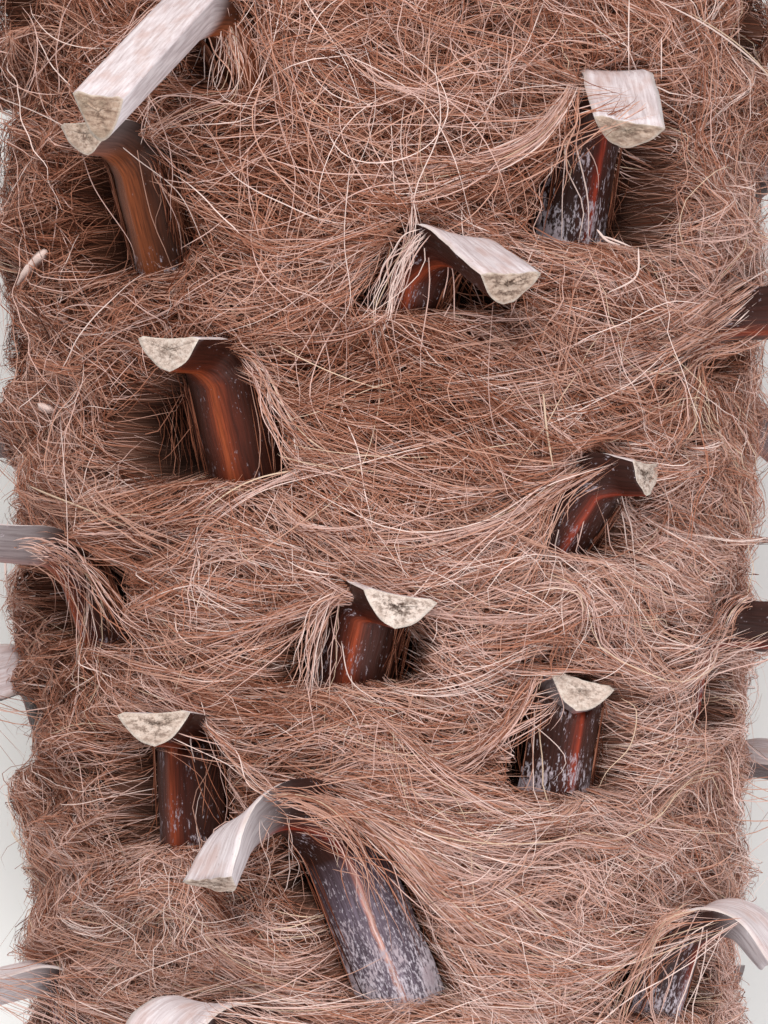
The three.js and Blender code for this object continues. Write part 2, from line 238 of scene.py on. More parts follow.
def leaf_path(leaf):
    """Stations along a leaf base: places, directions, inner directions, shares of width."""
    turn, out, lean = (math.radians(leaf[k]) for k in ("turn", "out", "lean"))
    swing, droop, twist = (math.radians(leaf[k]) for k in ("swing", "droop", "twist"))
    radial = np.array([math.sin(turn), -math.cos(turn), 0.0])
    side = np.array([math.cos(turn), math.sin(turn), 0.0])
    up = np.array([0.0, 0.0, 1.0])
    start = unit(
        up * math.cos(out) * math.cos(lean) + side * math.cos(out) * math.sin(lean) + radial * math.sin(out)
    )
    end = (radial * math.cos(swing) + side * math.sin(swing)) * math.cos(droop) - up * math.sin(droop)
    foot = radial * PLANK_RADIUS + up * leaf["foot"]

    def facing(along):
        return unit(-radial + along * (radial @ along))

    rows = []
    below = foot - start * ROOT_BACK
    root = below + radial * (CORE_RADIUS - below @ radial)
    root[2] = leaf["foot"] - ROOT_DROP
    for i in range(ROOT_STEPS):
        t = i / ROOT_STEPS
        spot = root * (1 - t) ** 2 + below * 2 * t * (1 - t) + foot * t * t
        along = unit((below - root) * (1 - t) + (foot - below) * t)
        rows.append((spot, along, facing(along), 0.22 * t))
    for i in range(RISE_STEPS):
        t = i / RISE_STEPS
        rows.append((foot + start * leaf["rise"] * t, start, facing(start), 0.22 + 0.11 * t))
    axis = unit(np.cross(start, end))
    bend = math.acos(float(np.clip(start @ end, -1, 1)))
    spot = foot + start * leaf["rise"]
    for i in range(ARCH_STEPS + 1):
        t = i / ARCH_STEPS
        if i:
            half_way = turned(start, axis, bend * (t - 0.5 / ARCH_STEPS))
            spot = spot + half_way * leaf["arch"] * bend / ARCH_STEPS
        along = turned(start, axis, bend * t)
        inner = turned(turned(facing(start), axis, bend * t), along, twist * t * 5 / 6)
        rows.append((spot, along, inner, 0.33 + 0.56 * t))
    for i in range(1, TIP_STEPS + 1):
        t = i / TIP_STEPS
        inner = turned(turned(facing(start), axis, bend), end, twist * (5 + t) / 6)
        rows.append((spot + end * leaf["tip"] * t, end, inner, 0.89 + 0.11 * t))
    return [np.array(column) for column in zip(*rows)]


def base_profile(half, depth, share):
    """Outline of a leaf base across: keeled under side left to right, then the hollow top."""
    x = np.sin(np.linspace(-math.pi / 2, math.pi / 2, UNDER_POINTS))
    under = -(depth - 1.0) * (1 - np.abs(x) ** 2.1)
    under -= (1.4 - 0.9 * share) * np.exp(-((x * half / 1.3) ** 2))
    top_x = np.linspace(1, -1, TOP_POINTS + 2)[1:-1]
    top = 1.3 - 1.1 * (1 - top_x**2)
    return np.concatenate([x, top_x]) * half, np.concatenate([under, top])


def make_leaf(n):
    """All that is known of a leaf. One that the photo doesn't show follows the spiral."""
    if n in SEEN:
        leaf = dict(zip(COLUMNS, map(float, SEEN[n])))
    else:
        leaf = {key: float(cycle[n % len(cycle)]) for key, cycle in OTHER.items()}
        leaf["turn"] = (FIRST_TURN + LEAF_TURN * n + 180) % 360 - 180
        leaf["foot"] = FIRST_FOOT - LEAF_STEP * n
    leaf.update(zip(LOOK_COLUMNS, LOOKS.get(n, (OTHER_AGE[n % len(OTHER_AGE)], *OTHER_LOOKS))))
    leaf["n"] = n
    leaf["node"] = f"leaf_base_{n - TOP_LEAF + 1:02d}"
    leaf["end_half"] = LONG_HALF_WIDTH if n == LONG_LEAF else TIP_HALF_WIDTH
    leaf["end_depth"] = LONG_DEPTH if n == LONG_LEAF else BASE_DEPTH
    leaf["height"] = leaf["rise"] + 0.75 * leaf["arch"]
    leaf["lip"] = SHORT_LIP if n == SHORT_LEAF else LIP
    leaf["path"] = leaf_path(leaf)
    places = leaf["path"][0]
    leaf["crest"] = places[:, 2].max() - leaf["foot"]
    leaf["cave_start"] = leaf["crest"] * (1 - (STEEP_CAVE if n == STEEP_LEAF else 1.0))
    turn = math.degrees(math.atan2(places[-1, 0], -places[-1, 1]))
    reach = math.radians((turn - leaf["turn"] + 180) % 360 - 180) * ROUND
    if leaf["cave"] is None:
        leaf["cave"] = (np.clip(-reach, 2, 22), np.clip(reach, 2, 22))
    return leaf


LEAVES = [make_leaf(n) for n in range(TOP_LEAF, BOTTOM_LEAF + 1)]


def of_leaves(key):
    return np.array([leaf[key] for leaf in LEAVES])


TURN = of_leaves("turn")
FOOT = of_leaves("foot")
HEIGHT = of_leaves("height")
CREST = of_leaves("crest")
LEAN = np.tan(np.radians(of_leaves("lean")))
BARE_WIDTH = of_leaves("bare")
CAVE_LEFT, CAVE_RIGHT = of_leaves("cave").T
CAVE_START = of_leaves("cave_start")
LIPS = of_leaves("lip")
IS_SEEN = np.isin(of_leaves("n"), list(SEEN))


# The fibre's surface and the way the fibre runs

def soft_step(x, start, end):
    t = np.clip((x - start) / (end - start), 0, 1)
    return t * t * (3 - 2 * t)


def near_leaves(s, z):
    """Across and up from each leaf's foot, for places unrolled at ROUND: two (..., leaves)."""
    turn = np.degrees(s / ROUND)
    across = np.radians((turn[..., None] - TURN + 180) % 360 - 180) * ROUND
    rise = z[..., None] - FOOT
    return across - LEAN * np.clip(rise, 0, 60), rise


def waves(s, z, seed, count, across_mm, along_mm):
    """Smooth unevenness of about unit size; it closes on itself round the trunk."""
    local = np.random.default_rng(seed)
    total = np.zeros(np.broadcast(s, z).shape)
    for _ in range(count):
        turns = max(1, round(AROUND / across_mm * local.uniform(0.6, 1.6)))
        pitch = along_mm / local.uniform(0.6, 1.6) * local.choice([-1, 1])
        total += np.sin(s / ROUND * turns + z * 2 * math.pi / pitch + local.uniform(0, 2 * math.pi))
    return total / math.sqrt(count)


def relief(s, z):
    """How far the fibre is sunk or stands out, from the places in RELIEF."""
    total = np.zeros(np.broadcast(s, z).shape)
    for x, y, wide, high, amount in RELIEF:
        edge_s, edge_z = photo_place([x - wide, x + wide], [y + high, y - high])
        across = (s - edge_s.mean() + AROUND / 2) % AROUND - AROUND / 2
        across = across * 2 / (edge_s[1] - edge_s[0])
        up = (z - edge_z.mean()) * 2 / (edge_z[1] - edge_z[0])
        total += amount * np.exp(-across * across - up * up)
    return total


def fibre_surface(s, z):
    """The fibre's surface: its radius with the hollows at the planks, without, and the hollows."""
    across, rise = near_leaves(s, z)
    round_side = np.sqrt(np.clip(1 - ((rise / CREST - 0.55) / 0.6) ** 2, 0, 1))
    ragged = np.where(IS_SEEN, 0.0, 1.6 * waves(s, z, 31, 6, 60, 12)[..., None])
    beside_plank = soft_step(rise, CAVE_START - 8, CAVE_START) * np.where(IS_SEEN, 1.0, round_side)
    left = BARE_WIDTH - 2 + CAVE_LEFT * beside_plank + ragged
    right = BARE_WIDTH - 2 + CAVE_RIGHT * beside_plank - ragged
    top = CREST - LIPS - 0.6 * np.clip(np.abs(across) - 12, 0, 30)
    window = (
        soft_step(across, -left - 4, -left)
        * (1 - soft_step(across, right, right + 4))
        * soft_step(rise, -2, 6)
        * (1 - soft_step(rise, top, top + 7))
    )
    beside = np.exp(-(((np.abs(across) - 20) / 9) ** 2) - ((rise - HEIGHT * 0.7) / 24) ** 2)
    behind = np.exp(-((across / 20) ** 2) - ((rise - HEIGHT - 14) / 12) ** 2)
    below = np.exp(-((across / 24) ** 2) - ((rise + 10) / 12) ** 2)
    plain = FIBRE_RADIUS - 3 + FIBRE_FLARE * z
    lumps = 2.6 * waves(s, z, 5, 7, 120, 46) + 1.8 * waves(s, z, 6, 9, 42, 15)
    outward = np.sin(np.radians(TURN))
    shelf = np.exp(-(((across * np.sign(outward) - 22) / 8) ** 2)) * soft_step(rise, -6, 8)
    shelf = shelf * (1 - soft_step(rise, CREST - 14, CREST)) * np.abs(outward) * (np.abs(TURN) < SHELF_TURN)
    full = plain + lumps + 4.5 * beside.max(-1) + 3 * behind.max(-1) + 4 * below.max(-1)
    full = full + RELIEF_HEIGHT * np.clip(relief(s, z), -1.5, 1) - SHELF_DEPTH * shelf.max(-1)
    hollow = window.max(-1)
    return full * (1 - hollow) + (PLANK_RADIUS - 7) * hollow, full, hollow


def wild(z):
    """How unruly the fibre is: combed low down, tangled towards the top."""
    return 0.2 + 0.6 * soft_step(z, 0, 110)


def combed_slope(s, z):
    """Slope in radians of the combed fibre, going right. It hangs from each leaf's shoulders,
    steeply from the left one and in a long sweep from the right one."""
    across, rise = near_leaves(s, z)
    below_top = HEIGHT - rise
    right = across > 0
    near = np.exp(-((across / np.where(right, 82, 30)) ** 2))
    pull = near * soft_step(below_top, -14, 6) * (1 - soft_step(below_top, 50, 95))
    climb = np.arctan2(np.clip(below_top, -10, 60) * np.where(right, 0.72, 1.0), np.abs(across) + 6)
    combed = (pull * -np.sign(across) * climb).sum(-1) / (pull.sum(-1) + 0.2)
    stray = 0.16 * waves(s, z, 21, 8, 80, 34) * (0.6 + wild(z))
    return combed + stray - 0.06 - 0.22 * soft_step(-s, 30, 110) * soft_step(-z, -20, 40)


def leaf_cover(field_s):
    """Radius of the leaf bases' outermost surface over a grid of places, 0 where there is none."""
    rows, columns = field_s.shape
    cover = np.zeros(field_s.shape)
    for leaf in LEAVES:
        places, alongs, inners, shares = leaf["path"]
        sides = unit(np.cross(inners, alongs))
        for i in np.arange(FOOT_STATION, len(shares) - 1, 0.5):
            k, t = int(i), i % 1
            half = BASE_HALF_WIDTH + (leaf["end_half"] - BASE_HALF_WIDTH) * shares[k]
            corner_x, corner_y = base_profile(half, BASE_DEPTH, 0)
            between = np.arange(0, len(corner_x) - 1, 0.5)
            x = np.interp(between, np.arange(len(corner_x)), corner_x)
            y = np.interp(between, np.arange(len(corner_x)), corner_y)
            spot = places[k] * (1 - t) + places[k + 1] * t
            ring = spot + sides[k] * x[:, None] + inners[k] * y[:, None]
            turn = np.arctan2(ring[:, 0], -ring[:, 1])
            column = np.round(turn * ROUND / FIELD_STEP).astype(int) % columns
            row = np.round((ring[:, 2] + FIELD_REACH) / (2 * FIELD_REACH) * (rows - 1)).astype(int)
            row = np.clip(row, 0, rows - 1)
            np.maximum.at(cover, (row, column), np.hypot(ring[:, 0], ring[:, 1]))
    wide = np.maximum.reduce([np.roll(cover, k, 1) for k in (-1, 0, 1)])
    tall = wide.copy()
    tall[1:] = np.maximum(tall[1:], wide[:-1])
    tall[:-1] = np.maximum(tall[:-1], wide[1:])
    return tall


class Field:
    """A function of place on the trunk, worked out once on a grid and read between its points."""

    def __init__(self, values):
        self.values = values

    def __call__(self, s, z):
        rows, columns = self.values.shape
        x = (s / AROUND) % 1 * columns
        y = np.clip((z + FIELD_REACH) / (2 * FIELD_REACH), 0, 1) * (rows - 1)
        x0 = np.minimum(x.astype(int), columns - 1)
        y0 = np.minimum(y.astype(int), rows - 2)
        fx, fy = x - x0, y - y0
        x1 = (x0 + 1) % columns
        low = self.values[y0, x0] * (1 - fx) + self.values[y0, x1] * fx
        high = self.values[y0 + 1, x0] * (1 - fx) + self.values[y0 + 1, x1] * fx
        return low * (1 - fy) + high * fy


field_s, field_z = np.meshgrid(
    np.arange(round(AROUND / FIELD_STEP)) * FIELD_STEP,
    np.linspace(-FIELD_REACH, FIELD_REACH, round(2 * FIELD_REACH / FIELD_STEP)),
)
mat_radius, outer_radius, hollow_share = map(Field, fibre_surface(field_s, field_z))
flow_slope = Field(combed_slope(field_s, field_z))
# patches: slow random tone, and the RELIEF places as painted shade and painted light
patches = Field(0.3 * waves(field_s, field_z, 15, 8, 90, 60) + relief(field_s, field_z))
cover_radius = Field(leaf_cover(field_s))


def brightness(s, z):
    """How light the fibre is: paler low down and to the right, partly its own colour and partly
    painted light, and in patches of random tone, with painted shade where it is sunk and painted
    light where it stands out.
    """
    return -0.8 * z / (LENGTH / 2) + 0.35 * np.sin(s / ROUND) + patches(s, z)


def place(s, z, r):
    turn = s / ROUND
    return np.stack([r * np.sin(turn), -r * np.cos(turn), np.broadcast_to(z, r.shape)], -1)


# Mesh making

def mesh_object(name, points, triangles, material_index=None):
    mesh = bpy.data.meshes.new(name)
    count = len(triangles)
    mesh.vertices.add(len(points))
    mesh.vertices.foreach_set("co", np.ascontiguousarray(to_world(points), np.float32).ravel())
    mesh.loops.add(count * 3)
    mesh.loops.foreach_set("vertex_index", np.ascontiguousarray(triangles, np.int32).ravel())
    mesh.polygons.add(count)
    mesh.polygons.foreach_set("loop_start", np.arange(0, count * 3, 3, dtype=np.int32))
    mesh.polygons.foreach_set("use_smooth", np.full(count, True))
    if material_index is not None:
        mesh.polygons.foreach_set("material_index", np.ascontiguousarray(material_index, np.int32))
    mesh.update(calc_edges=True)
    mesh.validate()
    thing = bpy.data.objects.new(name, mesh)
    bpy.context.scene.collection.objects.link(thing)
    return thing


def grid_triangles(rows, columns):
    """Triangles of a grid of points whose last column joins the first."""
    r = np.arange(rows - 1)[:, None]
    c = np.arange(columns)[None, :]
    a = r * columns + c
    b = r * columns + (c + 1) % columns
    quads = np.stack([a, b, b + columns, a + columns], -1).reshape(-1, 4)
    return np.concatenate([quads[:, [0, 1, 2]], quads[:, [0, 2, 3]]])


def strand_frame(lines):
    along = unit(np.gradient(lines, axis=1) + 1e-9)
    across = unit(np.cross(along, lines * np.array([1.0, 1.0, 0.0])) + 1e-9)
    return along, across


def tube_rings(lines, radii):
    """The corners of three-sided strands at each point of their lines."""
    along, across = strand_frame(lines)
    off = np.cross(across, along)
    rings = []
    for corner in range(3):
        angle = 2 * math.pi * corner / 3
        rings.append(lines + (across * math.cos(angle) + off * math.sin(angle)) * radii[..., None])
    return np.stack(rings, 2)


def ribbon_rings(lines, radii):
    """The two edges of flat strands, each rolled about its length by its own angle."""
    along, across = strand_frame(lines)
    roll = rng.uniform(-1.0, 1.0, (len(lines), 1, 1))
    wide = (across * np.cos(roll) + np.cross(along, across) * np.sin(roll)) * radii[..., None]
    return np.stack([lines - wide, lines + wide], 2)


def strand_mesh(lines, rings):
    """Strands that are pointed at both ends, of shape (strands, points, 3), from their rings."""
    count, length, corners, _ = rings.shape
    body = rings[:, 1:-1].reshape(count, -1, 3)
    points = np.concatenate([lines[:, :1], body, lines[:, -1:]], 1)
    per = points.shape[1]
    one = []
    for corner in range(corners if corners > 2 else 1):
        after = (corner + 1) % corners
        one.append((0, 1 + after, 1 + corner))
        for k in range(length - 3):
            a, b = 1 + corners * k + corner, 1 + corners * k + after
            one += [(a, b, b + corners), (a, b + corners, a + corners)]
        a, b = 1 + corners * (length - 3) + corner, 1 + corners * (length - 3) + after
        one.append((a, b, per - 1))
    triangles = np.array(one)[None] + (np.arange(count) * per)[:, None, None]
    return points.reshape(-1, 3), triangles.reshape(-1, 3)


def set_attribute(thing, name, *channels):
    """Three numbers a vertex, for the materials. A channel may be one number for all."""
    count = len(thing.data.vertices)
    values = np.stack([np.broadcast_to(np.ravel(channel), count) for channel in channels], -1)
    data = thing.data.attributes.new(name, "FLOAT_VECTOR", "POINT").data
    data.foreach_set("vector", np.ascontiguousarray(values, np.float32).ravel())


def finish_piece(thing, materials, slot, *nodes):
    for material in materials:
        thing.data.materials.append(material)
    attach(thing, "root")
    if nodes:
        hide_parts(*nodes)


# Materials. Their colours are sRGB values from 0 to 255

def colour(red, green, blue):
    """A linear colour from 0 to 255 sRGB values."""
    values = np.array([red, green, blue]) / 255
    linear = np.where(values <= 0.04045, values / 12.92, ((values + 0.055) / 1.055) ** 2.4)
    return (*linear, 1.0)


class Nodes:
    """Short calls for building one material's nodes."""

    def __init__(self, name, roughness, specular):
        self.material = bpy.data.materials.new(name)
        self.material.use_nodes = True
        self.tree = self.material.node_tree
        self.shader = self.tree.nodes["Principled BSDF"]
        self.shader.inputs["Roughness"].default_value = roughness
        self.shader.inputs["Specular IOR Level"].default_value = specular

    def add(self, kind, inputs=(), **settings):
        node = self.tree.nodes.new(kind)
        for key, value in settings.items():
            setattr(node, key, value)
        for key, value in dict(inputs).items():
            if hasattr(value, "is_output"):
                self.tree.links.new(value, node.inputs[key])
            else:
                node.inputs[key].default_value = value
        return node

    def attribute(self, name):
        """An attribute's vector and its three channels."""
        vector = self.add("ShaderNodeAttribute", attribute_name=name).outputs["Vector"]
        return vector, *self.add("ShaderNodeSeparateXYZ", {0: vector}).outputs

    def noise(self, vector, scale, detail=3.0, roughness=0.55):
        """Noise at one scale, or at a scale for each axis."""
        if isinstance(scale, tuple):
            inputs = {0: vector, 1: scale}
            vector = self.add("ShaderNodeVectorMath", inputs, operation="MULTIPLY").outputs[0]
            scale = 1.0
        inputs = {"Vector": vector, "Scale": scale, "Detail": detail, "Roughness": roughness}
        return self.add("ShaderNodeTexNoise", inputs).outputs["Fac"]

    def math(self, operation, a, b=0.0):
        return self.add("ShaderNodeMath", {0: a, 1: b}, operation=operation).outputs[0]

    def times(self, a, b):
        return self.math("MULTIPLY", a, b)

    def plus(self, a, b):
        return self.math("ADD", a, b)

    def minus(self, a, b):
        return self.math("SUBTRACT", a, b)

    def ramp(self, value, *stops):
        """Numbers or colours at some places along a value, and between them."""
        node = self.add("ShaderNodeValToRGB", {0: value})
        elements = node.color_ramp.elements
        while len(elements) < len(stops):
            elements.new(0.5)
        for element, (at, shade) in zip(elements, stops):
            element.position = at
            element.color = colour(*shade) if isinstance(shade, tuple) else (shade, shade, shade, 1)
        return node.outputs["Color"]

    def mix(self, share, *shades):
        a, b = (colour(*shade) if isinstance(shade, tuple) else shade for shade in shades)
        return self.add("ShaderNodeMix", {"Factor": share, 6: a, 7: b}, data_type="RGBA").outputs[2]

    def finish(self, base, height, strength, distance):
        """The material, with its base colour and its bump."""
        inputs = {"Height": height, "Strength": strength, "Distance": distance}
        self.tree.links.new(base, self.shader.inputs["Base Color"])
        self.tree.links.new(self.add("ShaderNodeBump", inputs).outputs[0], self.shader.inputs["Normal"])
        return self.material


def plain_material(name, base, roughness):
    m = Nodes(name, roughness, 0.12)
    m.shader.inputs["Base Color"].default_value = base
    return m.material


def plank_material():
    """The outer side of a leaf base: glossy brown with an orange keel, flecked and grey when old,
    and bleached on the way to the cut. From the keel out to its edges it darkens, partly its own
    colour and partly painted shade on flanks that lie in shade beside the fibre."""
    m = Nodes("plank", 0.4, 0.14)
    vector, across, along, age = m.attribute("place")
    bleach, bloom = m.attribute("weather")[1:3]
    grain = m.noise(vector, (1.6, 0.07, 1.0), 5.0)
    fleck = m.noise(vector, (1.5, 0.45, 1.0), 4.0, 0.65)
    blotch = m.noise(vector, (0.2, 0.09, 1.0))
    sway = m.noise(vector, (0.0, 0.06, 1.0))
    bend = m.times(m.minus(sway, 0.5), 3.0)
    wide = m.times(m.math("ABSOLUTE", m.plus(across, bend)), 1 / 15)
    # From the keel (0) out to the edges (1) each ramp darkens: partly the plank's own colour, partly painted
    # shade on its flanks
    fresh = m.ramp(wide, (0.0, (150, 80, 46)), (0.22, (124, 66, 38)), (0.5, (80, 42, 26)),
                   (0.75, (50, 27, 18)), (1.0, (40, 22, 15)))
    red = m.ramp(wide, (0.0, (158, 76, 44)), (0.12, (136, 60, 35)), (0.28, (86, 36, 24)),
                 (0.6, (60, 28, 20)), (1.0, (54, 28, 21)))
    dark = m.ramp(wide, (0.0, (150, 54, 34)), (0.06, (112, 38, 26)), (0.13, (72, 31, 24)),
                  (0.4, (52, 27, 22)), (1.0, (58, 33, 27)))
    old = m.ramp(wide, (0.0, (226, 190, 182)), (0.05, (196, 138, 126)), (0.1, (120, 106, 118)),
                 (0.55, (98, 86, 98)), (1.0, (110, 92, 98)))
    shade = m.mix(m.ramp(age, (0.02, 0.0), (0.18, 1.0)), fresh, red)
    shade = m.mix(m.ramp(age, (0.28, 0.0), (0.42, 1.0)), shade, dark)
    shade = m.mix(m.ramp(age, (0.55, 0.0), (0.95, 1.0)), shade, old)
    shade = m.mix(m.ramp(grain, (0.35, 0.6), (0.65, 0.0)), shade, (34, 17, 12))
    spread = m.times(m.minus(blotch, 0.5), 0.6)
    foot = m.ramp(m.times(along, 1 / 60), (0.0, 0.16), (0.7, 0.0))
    edge = m.ramp(wide, (0.1, 0.0), (1.0, 0.08))
    share = m.times(m.plus(m.plus(edge, foot), 0.11), age)
    powder = m.times(m.ramp(m.times(along, 1 / 60), (0.0, 0.34), (0.3, 0.0)), bloom)
    level = m.plus(m.plus(fleck, m.plus(share, powder)), spread)
    specks = m.ramp(level, (0.7, 0.0), (0.84, 1.0))
    shade = m.mix(specks, shade, m.ramp(blotch, (0.4, (212, 203, 212)), (0.6, (170, 155, 162))))
    shade = m.mix(bleach, shade, m.ramp(grain, (0.35, (186, 172, 174)), (0.6, (220, 210, 212))))
    dull = m.ramp(m.plus(specks, bleach), (0.0, 0.4), (1.0, 0.85))
    m.tree.links.new(dull, m.shader.inputs["Roughness"])
    return m.finish(shade, m.plus(grain, m.times(specks, 0.5)), 0.45, 0.0006)


def top_material():
    """The inner side, which faces up on the bent end: smooth and weathered pale."""
    m = Nodes("weathered_top", 0.55, 0.3)
    vector, across = m.attribute("place")[:2]
    streak = m.noise(vector, (0.9, 0.09, 1.0), 5.0)
    cloud = m.noise(vector, (0.16, 0.08, 1.0), 4.0)
    specks = m.noise(vector, (1.4, 0.9, 1.0))
    base = m.ramp(streak, (0.3, (186, 168, 168)), (0.5, (212, 198, 200)), (0.7, (230, 220, 222)))
    warm = m.mix(m.ramp(cloud, (0.48, 0.0), (0.66, 0.5)), base, (192, 156, 146))
    warm = m.mix(m.ramp(specks, (0.28, 0.4), (0.38, 0.0)), warm, (140, 112, 104))
    edge = m.ramp(m.times(m.math("ABSOLUTE", across), 1 / 15), (0.72, 0.0), (0.9, 0.5))
    return m.finish(m.mix(edge, warm, (232, 220, 208)), m.plus(streak, m.times(specks, 0.4)), 0.35, 0.0005)


def cut_material():
    """A pruned end: cream pith, darker and cracked inside, with specks and a green tinge."""
    m = Nodes("pruned_end", 0.85, 0.2)
    vector = m.attribute("cut")[0]
    _, rim, tone, cracked = m.attribute("rim")
    patch = m.noise(vector, 0.1)
    fine = m.noise(vector, 0.9, 5.0, 0.7)
    rough = m.noise(vector, (0.24, 0.5, 1.0), 6.0, 0.7)
    cream = m.ramp(rough, (0.3, (180, 156, 143)), (0.5, (216, 196, 184)), (0.7, (234, 222, 213)))
    ochre = m.ramp(rough, (0.3, (126, 98, 82)), (0.5, (178, 150, 131)), (0.7, (208, 186, 168)))
    green = m.times(m.ramp(patch, (0.52, 0.0), (0.64, 0.35)), tone)
    base = m.mix(green, m.mix(tone, cream, ochre), (134, 124, 106))
    inside = m.ramp(rim, (0.3, 1.0), (0.85, 0.1))
    dark = m.ramp(m.plus(m.times(rough, 0.7), m.times(fine, 0.3)), (0.4, 1.0), (0.5, 0.0))
    dark = m.times(m.times(dark, inside), cracked)
    base = m.mix(dark, base, (84, 62, 50))
    base = m.mix(m.times(m.ramp(fine, (0.36, 0.45), (0.5, 0.0)), 0.8), base, (120, 98, 82))
    base = m.mix(m.ramp(rim, (0.86, 0.0), (0.97, 0.4)), base, (234, 224, 212))
    return m.finish(base, m.minus(fine, dark), 0.7, 0.0009)


def sheath_material():
    """The packed fibre under the loose strands. It is paler or darker with the fibre's brightness,
    partly painted light and shade, and near black in the hollows beside the planks, painted shade.
    """
    m = Nodes("packed_fibre", 0.95, 0.1)
    hollow, light = m.attribute("depth")[1:3]
    fine = m.noise(m.attribute("combed")[0], (0.05, 1.6, 1.0), 5.0, 0.65)
    deep = m.ramp(fine, (0.32, (50, 27, 18)), (0.55, (84, 50, 37)), (0.72, (128, 86, 70)))
    pale = m.ramp(fine, (0.32, (106, 68, 54)), (0.55, (150, 110, 95)), (0.72, (188, 148, 133)))
    # The hollows beside the planks are mixed towards near black: painted shade
    base = m.mix(m.ramp(hollow, (0.2, 0.0), (0.8, 0.85)), m.mix(light, deep, pale), (30, 16, 12))
    return m.finish(base, fine, 0.9, 0.0015)


def wood_material():
    """Sawn palm wood: pale ground with dark strands cut across, closer towards the bark."""
    m = Nodes("sawn_palm_wood", 0.8, 0.2)
    vector, _, _, radius = m.attribute("sawn")
    pores = m.add("ShaderNodeTexVoronoi", {"Vector": vector, "Scale": 0.42}, feature="F1").outputs["Distance"]
    fine = m.noise(vector, 0.6, 4.0)
    marks = m.noise(vector, (0.25, 0.006, 1.0))
    base = m.ramp(fine, (0.3, (176, 142, 98)), (0.7, (214, 184, 138)))
    base = m.mix(m.ramp(radius, (0.7, 0.0), (1.0, 0.75)), base, (118, 80, 50))
    dots = m.math("LESS_THAN", pores, m.ramp(radius, (0.2, 0.14), (1.0, 0.42)))
    base = m.mix(m.times(dots, 0.85), base, (84, 52, 32))
    return m.finish(base, m.plus(m.times(fine, 0.5), marks), 0.5, 0.0008)


# Leaf bases

def end_at_saw(grid):
    """Ends every lengthwise line of a grid of points where it crosses a saw plane."""
    inside = (np.abs(grid[..., 2]) <= LENGTH / 2).all(1)
    if inside.all():
        return
    start = int(np.flatnonzero(inside).mean()) if inside.any() else len(grid) // 2
    for column in range(grid.shape[1]):
        for rows in (range(start, len(grid)), range(start, -1, -1)):
            for before, after in zip(rows, rows[1:]):
                z0, z1 = grid[before, column, 2], grid[after, column, 2]
                if abs(z1) > LENGTH / 2:
                    t = (math.copysign(LENGTH / 2, z1) - z0) / (z1 - z0)
                    crossing = grid[before, column] * (1 - t) + grid[after, column] * t
                    beyond = slice(after, None) if rows[-1] > start else slice(None, after + 1)
                    grid[beyond, column] = crossing
                    break


# Rings of the rough cut, as shares of its width
CUT_RINGS = (0.85, 0.6, 0.3, 0.02)


